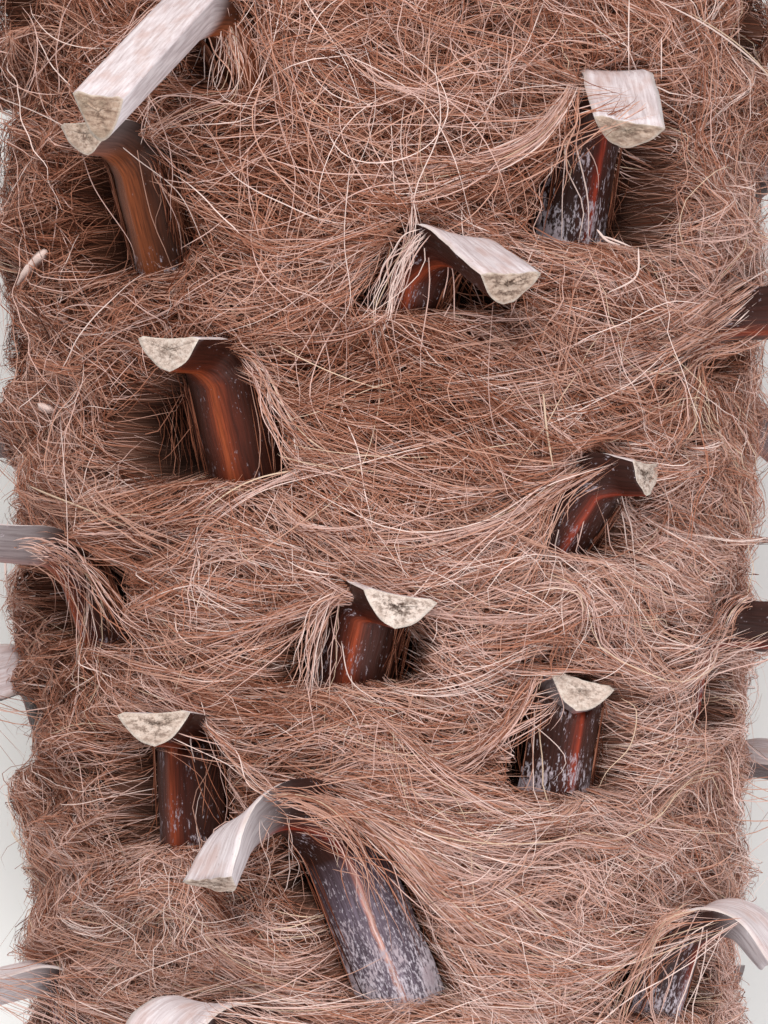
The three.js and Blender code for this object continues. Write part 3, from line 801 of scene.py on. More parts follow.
def make_leaf_base(leaf, materials):
    places, alongs, inners, shares = leaf["path"]
    sides = unit(np.cross(inners, alongs))
    local = np.random.default_rng(350 + leaf["n"])
    slant = local.normal(0, 0.1, 2)
    travelled = np.concatenate([[0], np.cumsum(np.linalg.norm(np.diff(places, axis=0), axis=1))])
    travelled -= travelled[FOOT_STATION]
    phase = local.uniform(0, 6, 4)
    rings, marks, cuts, weathers = [], [], [], []
    for i, share in enumerate(shares):
        half = BASE_HALF_WIDTH + (leaf["end_half"] - BASE_HALF_WIDTH) * share
        depth = BASE_DEPTH + (leaf["end_depth"] - BASE_DEPTH) * share
        x, y = base_profile(half, depth, share)
        ragged = 1 + 0.02 * np.sin(travelled[i] * 0.23 + phase[0])
        ragged = ragged + 0.015 * np.sin(travelled[i] * 0.61 + phase[1])
        ring = places[i] + sides[i] * (x * ragged)[:, None] + inners[i] * y[:, None]
        if i >= len(shares) - 3:
            weight = (i - len(shares) + 4) / 3
            tilt = x * slant[0] + (y + 5) * slant[1] + 0.35 * np.sin(x * 0.9 + phase[2])
            ring = ring + alongs[i] * (tilt * weight)[:, None]
        rings.append(ring)
        age = leaf["age"] - max(leaf["age"] - 0.5, 0) * soft_step(share, 0.28, 0.36)
        bleached = leaf["bleach"] * soft_step(share, 0.62, 0.97)
        marks += [(across, travelled[i], age) for across in x]
        cuts += zip(x, y)
        weathers += [bleached] * len(x)
    grid = np.array(rings)
    end_at_saw(grid)
    rows, count = grid.shape[:2]
    points, marks, cuts, weathers = grid.reshape(-1, 3), np.array(marks), np.array(cuts), np.array(weathers)
    rims = np.ones(len(points))
    triangles = grid_triangles(rows, count)
    kinds = np.where((triangles % count).max(1) < UNDER_POINTS, 0, 1)
    last = (rows - 1) * count
    edge, edge_cut = points[last:], cuts[last:]
    middle, middle_cut = edge.mean(0), edge_cut.mean(0)
    flat = abs(abs(middle[2]) - LENGTH / 2) < 0.01
    for shrink in CUT_RINGS:
        bumps = 0 if flat else local.normal(0, 0.22, (count, 1))
        points = np.concatenate([points, middle + (edge - middle) * shrink + alongs[-1] * bumps])
        cuts = np.concatenate([cuts, edge_cut * shrink + middle_cut * (1 - shrink)])
        marks = np.concatenate([marks, marks[last:last + count]])
        weathers = np.concatenate([weathers, weathers[last:last + count]])
        rims = np.concatenate([rims, np.full(count, shrink)])
    cap = grid_triangles(1 + len(CUT_RINGS), count) + last
    hub = last + len(CUT_RINGS) * count
    fan = [(hub, hub + k, hub + k + 1) for k in range(1, count - 1)]
    root = [(0, k + 1, k) for k in range(1, count - 1)]
    triangles = np.concatenate([triangles, cap, fan, root])
    kinds = np.concatenate([kinds, np.full(len(triangles) - len(kinds), 2)])
    thing = mesh_object(leaf["node"] + "_shape", points, triangles[:, ::-1], kinds)
    set_attribute(thing, "place", *marks.T)
    set_attribute(thing, "cut", *cuts.T, leaf["n"] * 7.0)
    set_attribute(thing, "rim", rims, *leaf["cut"])
    set_attribute(thing, "weather", weathers, leaf["bloom"], 0.0)
    finish_piece(thing, materials, "leaf_base", leaf["node"])


# Packed fibre and core

SHEATH_COLUMNS = 330
SHEATH_ROWS = 116
SHEATH_RINGS = 11
CORE_COLUMNS = 160
CORE_RINGS = 26


def make_sheath(material):
    s = np.arange(SHEATH_COLUMNS) / SHEATH_COLUMNS * 2 * math.pi * ROUND
    z = np.linspace(-LENGTH / 2, LENGTH / 2, SHEATH_ROWS)
    ss, zz = np.meshgrid(s, z)
    r = mat_radius(ss, zz) - 5.0 + 0.8 * waves(ss, zz, 8, 9, 26, 7)
    flow = zz - np.cumsum(np.tan(flow_slope(ss, zz)) * 2 * math.pi * ROUND / SHEATH_COLUMNS, 1) * 0.25

    def end_rings(end):
        """Rings from one end's rim in to the core, and how far out each of them is."""
        rings, radii = [], []
        for share in np.linspace(0, 1, SHEATH_RINGS + 1)[1:]:
            radius = r[end] + (CORE_RADIUS + 0.3 - r[end]) * share
            uneven = 0.9 * waves(s, radius * 3, 9, 8, 40, 12) * math.sin(math.pi * share)
            rings.append(place(s, z[end] - np.abs(uneven) * np.sign(z[end]), radius))
            radii.append(radius * 2.0)
        return np.array(rings), np.array(radii)

    lower, lower_flow = end_rings(0)
    upper, upper_flow = end_rings(SHEATH_ROWS - 1)
    # From the core out at the lower end, up the outer side, and back to the core
    grid = np.concatenate([lower[::-1], place(ss, zz, r), upper])
    flow = np.concatenate([lower_flow[::-1], flow, upper_flow])
    plain = np.zeros((SHEATH_RINGS, SHEATH_COLUMNS))
    # hollow turns the packed fibre near black beside the planks, painted shade; light follows the fibre's
    # brightness, partly painted light and shade
    hollow = np.concatenate([plain, hollow_share(ss, zz), plain])
    light = np.concatenate([plain, np.clip(0.35 + 0.35 * brightness(ss, zz), 0, 1), plain])
    first = np.arange(SHEATH_COLUMNS)
    last = (len(grid) - 1) * SHEATH_COLUMNS + first
    after = np.roll(first, -1)
    inner = np.concatenate([
        np.stack([last, last[after], first[after]], -1),
        np.stack([last, first[after], first], -1),
    ])
    triangles = np.concatenate([grid_triangles(len(grid), SHEATH_COLUMNS), inner])
    thing = mesh_object("packed_fibre", grid.reshape(-1, 3), triangles)
    set_attribute(thing, "combed", np.tile(s, len(grid)), flow, 0.0)
    set_attribute(thing, "depth", hollow, light, 0.0)
    finish_piece(thing, [material], "fibre", *[f"fibre_tier_{i}" for i in range(1, 6)])


def make_core(material):
    turn = np.arange(CORE_COLUMNS) / CORE_COLUMNS * 2 * math.pi
    radius = (np.linspace(0.02, 1, CORE_RINGS) * CORE_RADIUS)[:, None]
    x, y = radius * np.sin(turn), -radius * np.cos(turn)
    uneven = 0.35 * np.sin(x * 0.21 + y * 0.05) + 0.25 * np.sin(x * 0.9 + 1.3) + 0.3 * np.sin(y * 0.13)
    share = np.broadcast_to(radius / CORE_RADIUS, x.shape)
    layers, marks = [], []
    for sign in (-1, 1):
        height = sign * (LENGTH / 2 - 0.7) + sign * 0.5 * uneven * (radius < CORE_RADIUS)
        layers.append(np.stack([x, y, height], -1)[::-sign])
        marks.append(np.stack([x, y + 300 * sign, share], -1)[::-sign])
    # The lower end's rings run outwards and the upper end's inwards
    grid = np.concatenate([layers[0], layers[1]])
    triangles = grid_triangles(len(grid), CORE_COLUMNS)
    bottom = [(0, k, k + 1) for k in range(1, CORE_COLUMNS - 1)]
    start = (len(grid) - 1) * CORE_COLUMNS
    top = [(start, start + k + 1, start + k) for k in range(1, CORE_COLUMNS - 1)]
    thing = mesh_object("core_shape", grid.reshape(-1, 3), np.concatenate([triangles, bottom, top]))
    set_attribute(thing, "sawn", *np.concatenate(marks).reshape(-1, 3).T)
    finish_piece(thing, [material], "wood", "trunk_core")


# Loose fibre. Its shades, and in what shares they are dealt out in bright, dark and other places,
# which are partly painted light and shade

SHADES = {
    "pale": (230, 204, 195),
    "pink": (208, 171, 160),
    "tan": (190, 145, 127),
    "russet": (170, 115, 93),
    "brown": (134, 81, 60),
    "dark": (88, 44, 28),
    "deep": (44, 18, 9),
    "straw": (212, 184, 160),
}
SHADE_NAMES = list(SHADES)
BRIGHT = {"pale": 4, "pink": 7, "tan": 3, "straw": 0.4}
LIGHT = {"pale": 1.6, "pink": 5, "tan": 4.5, "russet": 1.2, "straw": 0.3}
WARM = {"pink": 1.6, "tan": 4, "russet": 4, "brown": 1.6, "straw": 0.1}
DEEP = {"tan": 1.6, "russet": 4, "brown": 4, "dark": 1.4}
DARKER = {"russet": 1.6, "brown": 4, "dark": 4, "deep": 1.6}
# Shades for strands in the hollows beside the planks: painted shade
HOLLOW_SHADE = {"brown": 1, "dark": 4, "deep": 6}
PALE = {"pale": 4, "pink": 5, "straw": 0.8, "tan": 3}
TAN = {"tan": 4, "straw": 1}
LEVELS = (DARKER, DEEP, WARM, LIGHT, BRIGHT)

# Most triangles in one piece of strands, and the steepest fall of a strand that lies over a leaf
PIECE_LIMIT = 190000
DRAPE_SLOPE = 0.75
# Points of the line that a lock's strands follow, and how far round the front reaches in degrees
GUIDE_POINTS = 22
FRONT_TURN = 100


def deal(count, weights):
    """A shade for each strand, in the given shares."""
    share = np.array([weights.get(name, 0) for name in SHADE_NAMES], float)
    return rng.choice(len(SHADE_NAMES), count, p=share / share.sum())


def deal_by_place(s, z, brighter, shade_hollows=False):
    """Shades for strands at some places, lighter where the fibre's brightness is higher, which is
    partly painted light and shade. brighter moves them all, a step being 1, and when asked, those
    in the hollows get the darkest shades, painted shade."""
    count = len(s)
    level = 1.9 + brighter + brightness(s, z) + rng.normal(0, 0.75, count)
    level = np.clip(np.round(level), 0, len(LEVELS) - 1).astype(int)
    shades = np.select([level == k for k in range(len(LEVELS))], [deal(count, step) for step in LEVELS])
    if shade_hollows:
        shades = np.where(hollow_share(s, z) > rng.uniform(0.2, 0.8, count), deal(count, HOLLOW_SHADE), shades)
    return shades


def along_strand(points):
    return np.linspace(0, 1, points)[None]


def middle(rows):
    return rows[:, rows.shape[1] // 2]


def scattered(count, front_share):
    """Random places on the trunk, closer together on its front."""
    front = rng.random(count) < front_share
    turn = np.where(front, rng.uniform(-FRONT_TURN, FRONT_TURN, count), rng.uniform(-180, 180, count))
    return np.radians(turn) * ROUND, rng.uniform(-LENGTH / 2, LENGTH / 2, count)


def smooth_noise(count, points, size):
    """Slow random curves, one a row."""
    t = along_strand(points)
    total = np.zeros((count, points))
    for cycles in (0.5, 1.1, 2.1):
        phase = rng.uniform(0, 2 * math.pi, (count, 1))
        total += rng.normal(0, 1, (count, 1)) * np.sin(2 * math.pi * cycles * t + phase) / (0.7 + cycles)
    return total * np.reshape(size, (-1, 1))


def run_lines(s, z, heading, length, points, wander, start_slope=None, settle=14.0, offset=0.0):
    """Lines that follow the combed fibre from their starts, with slow bends of their own."""
    count = len(s)
    step = length / (points - 1)
    own = smooth_noise(count, points, wander) + rng.normal(0, 0.5, (count, 1)) * np.reshape(wander, (-1, 1))
    own = own + np.reshape(offset, (-1, 1))
    turn_share = 1 - np.exp(-step / settle)
    angle = flow_slope(s, z) * heading + own[:, 0] if start_slope is None else start_slope
    line_s, line_z = [s], [z]
    for k in range(points - 1):
        target = flow_slope(s, z) * heading + own[:, k]
        angle = angle + (target - angle) * turn_share
        s = s + heading * np.cos(angle) * step
        z = z + np.sin(angle) * step
        line_s.append(s)
        line_z.append(z)
    return np.stack(line_s, 1), np.stack(line_z, 1)


def free_lines(s, z, angle, length, points, curl, wander):
    """Lines with a heading and a curl of their own."""
    count = len(s)
    step = (length / (points - 1))[:, None]
    heading = curl[:, None] * step * np.arange(points - 1)[None]
    heading = angle[:, None] + (heading + smooth_noise(count, points - 1, np.full(count, wander)))
    line_s = s[:, None] + np.concatenate([np.zeros((count, 1)), np.cumsum(np.cos(heading) * step, 1)], 1)
    line_z = z[:, None] + np.concatenate([np.zeros((count, 1)), np.cumsum(np.sin(heading) * step, 1)], 1)
    return line_s, line_z


def drape(line_s, line_z, r):
    """Raises strands so that they lie over the leaf bases and fall away from them in straight slopes."""
    r = np.maximum(r, cover_radius(line_s, line_z) + 0.3)
    reach = np.hypot(np.diff(line_s, axis=1), np.diff(line_z, axis=1)) * DRAPE_SLOPE
    for k in range(1, r.shape[1]):
        r[:, k] = np.maximum(r[:, k], r[:, k - 1] - reach[:, k - 1])
    for k in range(r.shape[1] - 2, -1, -1):
        r[:, k] = np.maximum(r[:, k], r[:, k + 1] - reach[:, k])
    return r


def level_out(r):
    """Heights along strands with most of their ups and downs taken out."""
    mean = r.mean(1, keepdims=True)
    return mean + 0.35 * (r - mean)


def lift(points, base, arch):
    """Height above the mat along each strand: it starts and ends sunk in."""
    t = along_strand(points)
    return base[:, None] + arch[:, None] * np.sin(math.pi * t) - 1.5 * (1 - np.sin(math.pi * t))


def sample(rows, where):
    """Values of each row of an array at fractional places along it."""
    low = np.clip(where.astype(int), 0, rows.shape[1] - 2)
    t = where - low
    return np.take_along_axis(rows, low, 1) * (1 - t) + np.take_along_axis(rows, low + 1, 1) * t


def end_in_fray(line_s, line_z, r, shy=False, polite=False):
    """Ends strands a little past the saw cuts, shy ones where a hollow begins, and polite ones
    where they come to another leaf. Those that start beyond are dropped."""
    count, points = line_z.shape
    limit = LENGTH / 2 + rng.uniform(-3, 5, (count, 1))
    beyond = np.abs(line_z) > limit
    if shy:
        beyond |= hollow_share(line_s, line_z) > rng.uniform(0.15, 0.75, (count, 1))
    if polite:
        raised = cover_radius(line_s, line_z) > outer_radius(line_s, line_z) + 5
        met = (hollow_share(line_s, line_z) > 0.5) | raised
        beyond |= met & (np.arange(points)[None] > points // 3)
    first = np.where(beyond.any(1), beyond.argmax(1), points - 1)
    before = np.maximum(first - 1, 0)
    rows = np.arange(count)
    z0, z1 = np.abs(line_z[rows, before]), np.abs(line_z[rows, first])
    t = np.clip((limit[:, 0] - z0) / np.where(z1 > z0, z1 - z0, 1), 0, 1)
    t = np.where(z1 > limit[:, 0], t, 0.7)
    end = np.where(beyond.any(1), before + t, points - 1)
    keep = ~beyond[:, 0] & (end > 1)
    where = along_strand(points) * end[:, None]
    return [sample(v, where)[keep] for v in (line_s, line_z, r)], keep


class Strands:
    """Collects strands and turns them into a few joined pieces, one a shade."""

    def __init__(self):
        self.groups = []

    def add(self, line_s, line_z, r, half_width, shades, make=ribbon_rings, ends=(0.55, 0.35), **manners):
        """Adds strands. ends are the shares of their width that are left at their two ends."""
        (line_s, line_z, r), keep = end_in_fray(line_s, line_z, r, **manners)
        lines = place(line_s, line_z, r)
        above = to_world(lines)[..., 2].min(1) > 0.001
        t = along_strand(r.shape[1])
        start, end = ends
        taper = (start + (1 - start) * soft_step(t, 0, 0.2)) * (1 - (1 - end) * soft_step(t, 0.6, 1))
        radii = half_width[keep][:, None] * taper
        self.groups.append((lines[above], radii[above], shades[keep][above], make))

    def finish(self):
        for index, (name, base) in enumerate(SHADES.items()):
            material = plain_material("fibre_" + name, colour(*base), 0.65)
            chunks, size, number = [], 0, 1
            for lines, radii, shades, make in self.groups:
                chosen = shades == index
                if not chosen.any():
                    continue
                points, triangles = strand_mesh(lines[chosen], make(lines[chosen], radii[chosen]))
                if size + len(triangles) > PIECE_LIMIT:
                    self.piece(f"fibre_{name}_{number}", chunks, material)
                    chunks, size, number = [], 0, number + 1
                chunks.append((points, triangles))
                size += len(triangles)
            self.piece(f"fibre_{name}_{number}", chunks, material)

    def piece(self, name, chunks, material):
        starts = np.cumsum([0] + [len(points) for points, _ in chunks])
        points = np.concatenate([points for points, _ in chunks])
        triangles = np.concatenate([triangles + start for (_, triangles), start in zip(chunks, starts)])
        finish_piece(mesh_object(name, points, triangles), [material], "fibre")


def add_under_mat(strands, count):
    points = 6
    s, z = scattered(count, 0.62)
    heading = rng.choice([-1.0, 1.0], count)
    length = rng.uniform(25, 70, count)
    offset = rng.normal(0, 0.25 + 0.4 * wild(z))
    line_s, line_z = run_lines(s, z, heading, length, points, 0.1 + 0.2 * wild(z), offset=offset)
    depth = rng.uniform(-3.5, 0.3, count)
    r = mat_radius(line_s, line_z) + lift(points, depth, rng.uniform(0, 1.5, count))
    shades = deal_by_place(middle(line_s), middle(line_z), 0.45 * depth + 0.3, shade_hollows=True)
    strands.add(line_s, line_z, r, rng.uniform(0.13, 0.23, count), shades, shy=True)


def add_locks(strands, guides, most, points, lengths, askew, rise):
    """Strands in locks that share a way and cross each other a little. askew is how far the
    locks stray from the combed way, in radians, and rise how far they stand off the mat."""
    s, z = scattered(guides, 0.7)
    heading = rng.choice([-1.0, 1.0], guides)
    length = rng.uniform(*lengths, guides)
    offset = rng.normal(0, askew * (0.5 + wild(z)))
    guide_s, guide_z = run_lines(s, z, heading, length, GUIDE_POINTS, 0.12 + 0.3 * wild(z), offset=offset)
    slope_s, slope_z = np.gradient(guide_s, axis=1), np.gradient(guide_z, axis=1)
    size = np.hypot(slope_s, slope_z) + 1e-9
    width = rng.uniform(0.8, 5.0, guides)
    base, arch = rng.uniform(-1.2, 1.0, guides), rng.gamma(1.6, rise, guides)
    shade = deal_by_place(middle(guide_s), middle(guide_z), 0.15 * arch)
    pick = np.repeat(np.arange(guides), rng.integers(3, most, guides))
    count = len(pick)
    t = along_strand(points)
    where = rng.uniform(0, 0.35, (count, 1)) * (1 - t) + rng.uniform(0.6, 1, (count, 1)) * t
    where = where * (GUIDE_POINTS - 1)
    offset = rng.normal(0, 1, (count, 1)) * (1 - t) + rng.normal(0, 1, (count, 1)) * t
    offset = offset * width[pick][:, None] + smooth_noise(count, points, 0.5 + 1.2 * wild(z)[pick])
    line_s = sample(guide_s[pick], where) - sample((slope_z / size)[pick], where) * offset
    line_z = sample(guide_z[pick], where) + sample((slope_s / size)[pick], where) * offset
    r = mat_radius(line_s, line_z) + lift(points, base[pick] + rng.uniform(-0.8, 0.8, count), arch[pick])
    own = rng.random(count) < 0.5
    shades = np.where(own, deal_by_place(middle(line_s), middle(line_z), 0.3), shade[pick])
    strands.add(line_s, line_z, r, rng.uniform(0.08, 0.18, count), shades, shy=True)


def add_frizz(strands, count):
    """Short curly ends that stand off the mat in all directions."""
    points = 5
    s, z = scattered(count, 0.58)
    heading = rng.choice([-1.0, 1.0], count)
    angle = np.where(heading > 0, 0, math.pi) + heading * flow_slope(s, z) + rng.normal(0, 0.85, count)
    length = rng.uniform(9, 34, count)
    line_s, line_z = free_lines(s, z, angle, length, points, rng.normal(0, 0.03, count), 0.15)
    t = along_strand(points)
    rise = rng.gamma(1.4, 1.7, (count, 1))
    r = mat_radius(line_s, line_z) - 0.5 + rise * t * (1.6 - 0.6 * t)
    shades = deal_by_place(s, z, 0.4, shade_hollows=True)
    strands.add(line_s, line_z, r, rng.uniform(0.07, 0.14, count), shades, shy=True)


def add_strays(strands, count):
    """Long single strands that lie over the rest, most of them towards the top."""
    points = 36
    s, z = scattered(count, 0.75)
    keep = rng.random(count) < 0.15 + 0.85 * wild(z)
    s, z = s[keep], z[keep]
    count = len(s)
    hanging = rng.random(count) < 0.4
    angle = np.where(hanging, rng.normal(-math.pi / 2, 0.45, count), rng.uniform(-math.pi, math.pi, count))
    curl = rng.choice([-1, 1], count) * rng.gamma(1.2, 0.012, count)
    line_s, line_z = free_lines(s, z, angle, rng.uniform(30, 120, count), points, curl, 0.2)
    surface = level_out(outer_radius(line_s, line_z))
    r = surface + lift(points, rng.uniform(0.5, 2.5, count), rng.gamma(1.5, 1.8, count))
    strands.add(line_s, line_z, r, rng.uniform(0.1, 0.2, count), deal(count, PALE), shy=True)


def add_tangle(strands, x, y, size, count, hanging):
    """Loose curly strands round a place of the photo, in its pixels; hanging is how much they
    hang rather than lie any way."""
    points = 16
    spread = size * PIXEL
    s, z = photo_place(x, y)
    s, z = s + rng.normal(0, 0.6 * spread, count), z + rng.normal(0, 0.6 * spread, count)
    down = rng.normal(-math.pi / 2, 0.5, count)
    angle = np.where(rng.random(count) < hanging, down, rng.uniform(-math.pi, math.pi, count))
    curl = rng.choice([-1, 1], count) * rng.gamma(1.5, 0.013, count)
    line_s, line_z = free_lines(s, z, angle, rng.uniform(25, 110, count), points, curl, 0.3)
    line_s = line_s - line_s.mean(1, keepdims=True) + s[:, None]
    line_z = line_z - line_z.mean(1, keepdims=True) + z[:, None]
    surface = level_out(outer_radius(line_s, line_z))
    r = surface + lift(points, rng.uniform(0.5, 3, count), rng.gamma(1.6, 1.8, count))
    strands.add(line_s, line_z, r, rng.uniform(0.1, 0.2, count), deal(count, LIGHT), shy=True)


def leaf_edges(leaf, stations, edge, inward):
    """Places on a leaf base, unrolled: along, height and radius."""
    places, alongs, inners, _ = leaf["path"]
    sides = unit(np.cross(inners, alongs))
    low = stations.astype(int)
    t = (stations - low)[:, None]
    spot = places[low] * (1 - t) + places[low + 1] * t
    spot = spot + sides[low] * edge[:, None] + inners[low] * inward[:, None]
    turn = math.radians(leaf["turn"])
    beyond = np.arctan2(spot[:, 0], -spot[:, 1]) - turn
    turn = turn + (beyond + math.pi) % (2 * math.pi) - math.pi
    return turn * ROUND, spot[:, 2], np.hypot(spot[:, 0], spot[:, 1])


def add_shoulders(strands, leaf, count):
    """Strands that leave both edges of a plank and hang away from its shoulders."""
    points = 12
    heading = rng.choice([-1.0, 1.0], count)
    open_side = np.where(heading < 0, *leaf["cave"])
    heading = heading[rng.random(count) > 0.9 * soft_step(open_side, 8, 22)]
    count = len(heading)
    share = rng.beta(2.0, 1.2, count)
    half = heading * BASE_HALF_WIDTH * rng.uniform(0.7, 0.98, count)
    stations = FOOT_STATION + share * (END_STATION - 8 - FOOT_STATION)
    s, z, start_r = leaf_edges(leaf, stations, half, rng.uniform(-2, 2, count))
    steep = -np.radians(10 + 66 * share**1.5) + rng.normal(0, 0.2, count)
    length = rng.uniform(35, 150, count)
    offset = rng.normal(0, 0.25, count)
    line_s, line_z = run_lines(s, z, heading, length, points, 0.15 + 0.3 * wild(z), steep, 18.0, offset)
    settled = mat_radius(line_s, line_z) + rng.uniform(-0.5, 3.5, (count, 1))
    hold = np.exp(-along_strand(points) * length[:, None] / rng.uniform(8, 26, (count, 1)))
    r = settled + (start_r[:, None] - settled) * hold
    shades = deal_by_place(line_s[:, 4], line_z[:, 4], 0.3)
    strands.add(line_s, line_z, r, rng.uniform(0.1, 0.21, count), shades, polite=True)


def add_mane(strands, leaf, count, side, cover):
    """Strands that lie over the bend and fall down one of its shoulders."""
    heading = np.full(count, float(side)) if side else rng.choice([-1.0, 1.0], count)
    stations = BEND_STATION - 1 + (5 + 5 * cover) * rng.beta(1.6, 1.6, count)
    across = heading * rng.uniform(10 - 22 * cover, 14.5, count)
    s, z, _ = leaf_edges(leaf, stations, across, np.zeros(count))
    z = z + rng.uniform(-2, 6, count)
    steep = -np.abs(rng.normal(0.35, 0.6, count))
    length = rng.uniform(25, 125, count)
    offset = rng.normal(-0.25, 0.38, count)
    line_s, line_z = run_lines(s, z, heading, length, 14, 0.25 + 0.2 * wild(z), steep, 16.0, offset)
    r = drape(line_s, line_z, outer_radius(line_s, line_z) + rng.uniform(-1.0, 2.5, (count, 1)))
    r = r + rng.gamma(1.3, 0.8, (count, 1))
    shades = deal_by_place(s, z, 0.6)
    strands.add(line_s, line_z, r, rng.uniform(0.1, 0.21, count), shades, ends=(0.4, 0.3), polite=True)


def add_curtain(strands, leaf, count, side):
    """Strands that hang over the bend and down in front of the plank."""
    points = 12
    edge = np.full(count, float(side)) if side else rng.choice([-1.0, 1.0], count)
    stations = rng.uniform(BEND_STATION, BEND_STATION + 11, count)
    s, z, start_r = leaf_edges(leaf, stations, edge * rng.uniform(7, 13, count), rng.uniform(0, 1.5, count))
    t = along_strand(points)
    length = rng.uniform(22, 66, count)[:, None]
    sway = smooth_noise(count, points, np.full(count, 2.5))
    line_s = s[:, None] + (edge * rng.uniform(-5, 16, count))[:, None] * t**0.8 + sway - sway[:, :1]
    line_z = z[:, None] + 2.5 * np.sin(math.pi * np.clip(t * 3, 0, 1)) - length * t**1.15
    settled = np.maximum(mat_radius(line_s, line_z) + 1.0, PLANK_RADIUS + BASE_DEPTH + 1.5)
    r = start_r[:, None] + (settled - start_r[:, None]) * soft_step(t, 0.05, 0.9) + 2 * np.sin(math.pi * t)
    strands.add(line_s, line_z, r, rng.uniform(0.15, 0.3, count), deal(count, PALE), tube_rings)


def add_cave_strands(strands, leaf, count):
    """Strands that hang inside the space beside and behind the plank, dark with painted shade."""
    left, right = (leaf["bare"] + wide + 3 for wide in leaf["cave"])
    across = rng.uniform(-left, right, count)
    s = np.radians(leaf["turn"]) * ROUND + across + rng.normal(0, 1, count)
    top = leaf["foot"] + leaf["crest"] * rng.uniform(0.55, 0.95, count)
    s = s + math.tan(math.radians(leaf["lean"])) * (top - leaf["foot"])
    angle = rng.normal(-math.pi / 2 - math.radians(leaf["lean"]), 0.22, count)
    length = leaf["crest"] * rng.uniform(0.3, 0.9, count)
    line_s, line_z = free_lines(s, top, angle, length, 7, rng.normal(0, 0.008, count), 0.2)
    inside = hollow_share(middle(line_s), middle(line_z)) > 0.5
    line_s, line_z = line_s[inside], line_z[inside]
    count = len(line_s)
    depth = rng.uniform(0, 9, (count, 1))
    # Those further in get the darkest shades: painted shade.
    shades = np.where(depth[:, 0] > 7.5, deal(count, DEEP), deal(count, DARKER))
    r = np.minimum(mat_radius(line_s, line_z), PLANK_RADIUS - 4) + depth
    strands.add(line_s, line_z, r, rng.uniform(0.11, 0.22, count), shades)


def add_flank_strands(strands, leaf):
    """Strands that run up the plank and cling to its flanks, dark with painted shade."""
    count, points = leaf["flank"], 9
    t = along_strand(points)
    start = FOOT_STATION + rng.uniform(0, 3, (count, 1))
    end = rng.uniform(BEND_STATION - 2, BEND_STATION + 7, (count, 1))
    stations = start + (end - start) * t
    side = rng.choice([-1.0, 1.0], (count, 1))
    share = rng.uniform(0.62, 1.15, (count, 1)) * (1 - t) + rng.uniform(0.7, 1.15, (count, 1)) * t
    inward = -(BASE_DEPTH - 1) * (1 - np.minimum(share, 1) ** 2.1) - rng.uniform(0.2, 1.2, (count, 1))
    edge = side * share * BASE_HALF_WIDTH
    flat = leaf_edges(leaf, stations.ravel(), edge.ravel(), inward.ravel())
    line_s, line_z, r = (values.reshape(count, points) for values in flat)
    strands.add(line_s, line_z, r, rng.uniform(0.1, 0.22, count), deal(count, DARKER))


# Bundles seen in the photo, in its pixels: the leaf they hang from, the way, the number of
# strands, half their spread in mm at the start and at the end, and the shades
BUNDLES = (
    (3, ((585, 462), (550, 490), (500, 520), (430, 540), (350, 548)), 34, (1.5, 6), LIGHT),
    (-2, ((768, 272), (720, 305), (660, 345), (580, 374), (500, 392), (420, 402)), 90, (6, 9), LIGHT),
    (16, ((300, 797), (352, 812), (400, 848), (450, 900), (520, 955), (590, 985)), 60, (2, 8), LIGHT),
    (16, ((262, 796), (300, 800), (340, 822), (366, 860), (385, 910)), 30, (3, 7), WARM),
    (19, ((700, 906), (662, 922), (642, 960), (625, 1000), (608, 1050)), 30, (1.5, 3), TAN),
    (5, ((20, 550), (60, 552), (90, 580), (130, 620), (200, 650)), 20, (3, 8), LIGHT),
    (5, ((0, 548), (40, 550), (70, 575), (75, 620), (60, 680)), 16, (3, 8), LIGHT),
    (None, ((195, 535), (250, 495), (330, 465), (420, 440), (500, 405)), 12, (1.2, 2), PALE),
    (-10, ((576, 78), (562, 104), (530, 140), (470, 165), (380, 178), (300, 175)), 50, (1.5, 9), LIGHT),
    (-10, ((578, 84), (572, 120), (566, 170), (560, 215)), 14, (1.5, 4), WARM),
    (-5, ((426, 228), (405, 250), (390, 290), (375, 330), (358, 360)), 26, (2, 7), PALE),
    (8, ((345, 585), (322, 610), (308, 650), (302, 690), (290, 715)), 24, (1.5, 5), LIGHT),
    (0, ((243, 352), (262, 375), (280, 420), (310, 460), (360, 490)), 26, (2, 9), LIGHT),
    (13, ((200, 716), (226, 745), (270, 785), (330, 825)), 12, (1, 9), LIGHT),
    (11, ((540, 672), (520, 705), (495, 735), (450, 768), (400, 780)), 40, (2, 7), WARM),
    (6, ((768, 590), (735, 605), (715, 640), (700, 670), (660, 690)), 30, (2.5, 7), LIGHT),
    (None, ((225, 5), (235, 60), (225, 100), (180, 110), (150, 140)), 10, (1, 5), PALE),
    (None, ((215, 0), (230, 30), (240, 60), (250, 100)), 50, (5, 5), WARM),
    (None, ((212, 0), (222, 30), (214, 70), (205, 110)), 8, (1, 4), PALE),
    (-5, ((408, 180), (414, 205), (408, 250), (396, 300), (402, 330)), 8, (1, 4), PALE),
    (16, ((262, 815), (268, 850), (267, 905)), 3, (0.6, 1.2), PALE),
    (16, ((285, 812), (299, 850), (301, 905)), 3, (0.6, 1.5), PALE),
    (16, ((310, 812), (335, 840), (352, 880)), 4, (0.6, 2), PALE),
)
# About how far out the stubs stand, and the number of strands below which a bundle is of tubes
STUB_RADIUS = 162.0
FEW = 12

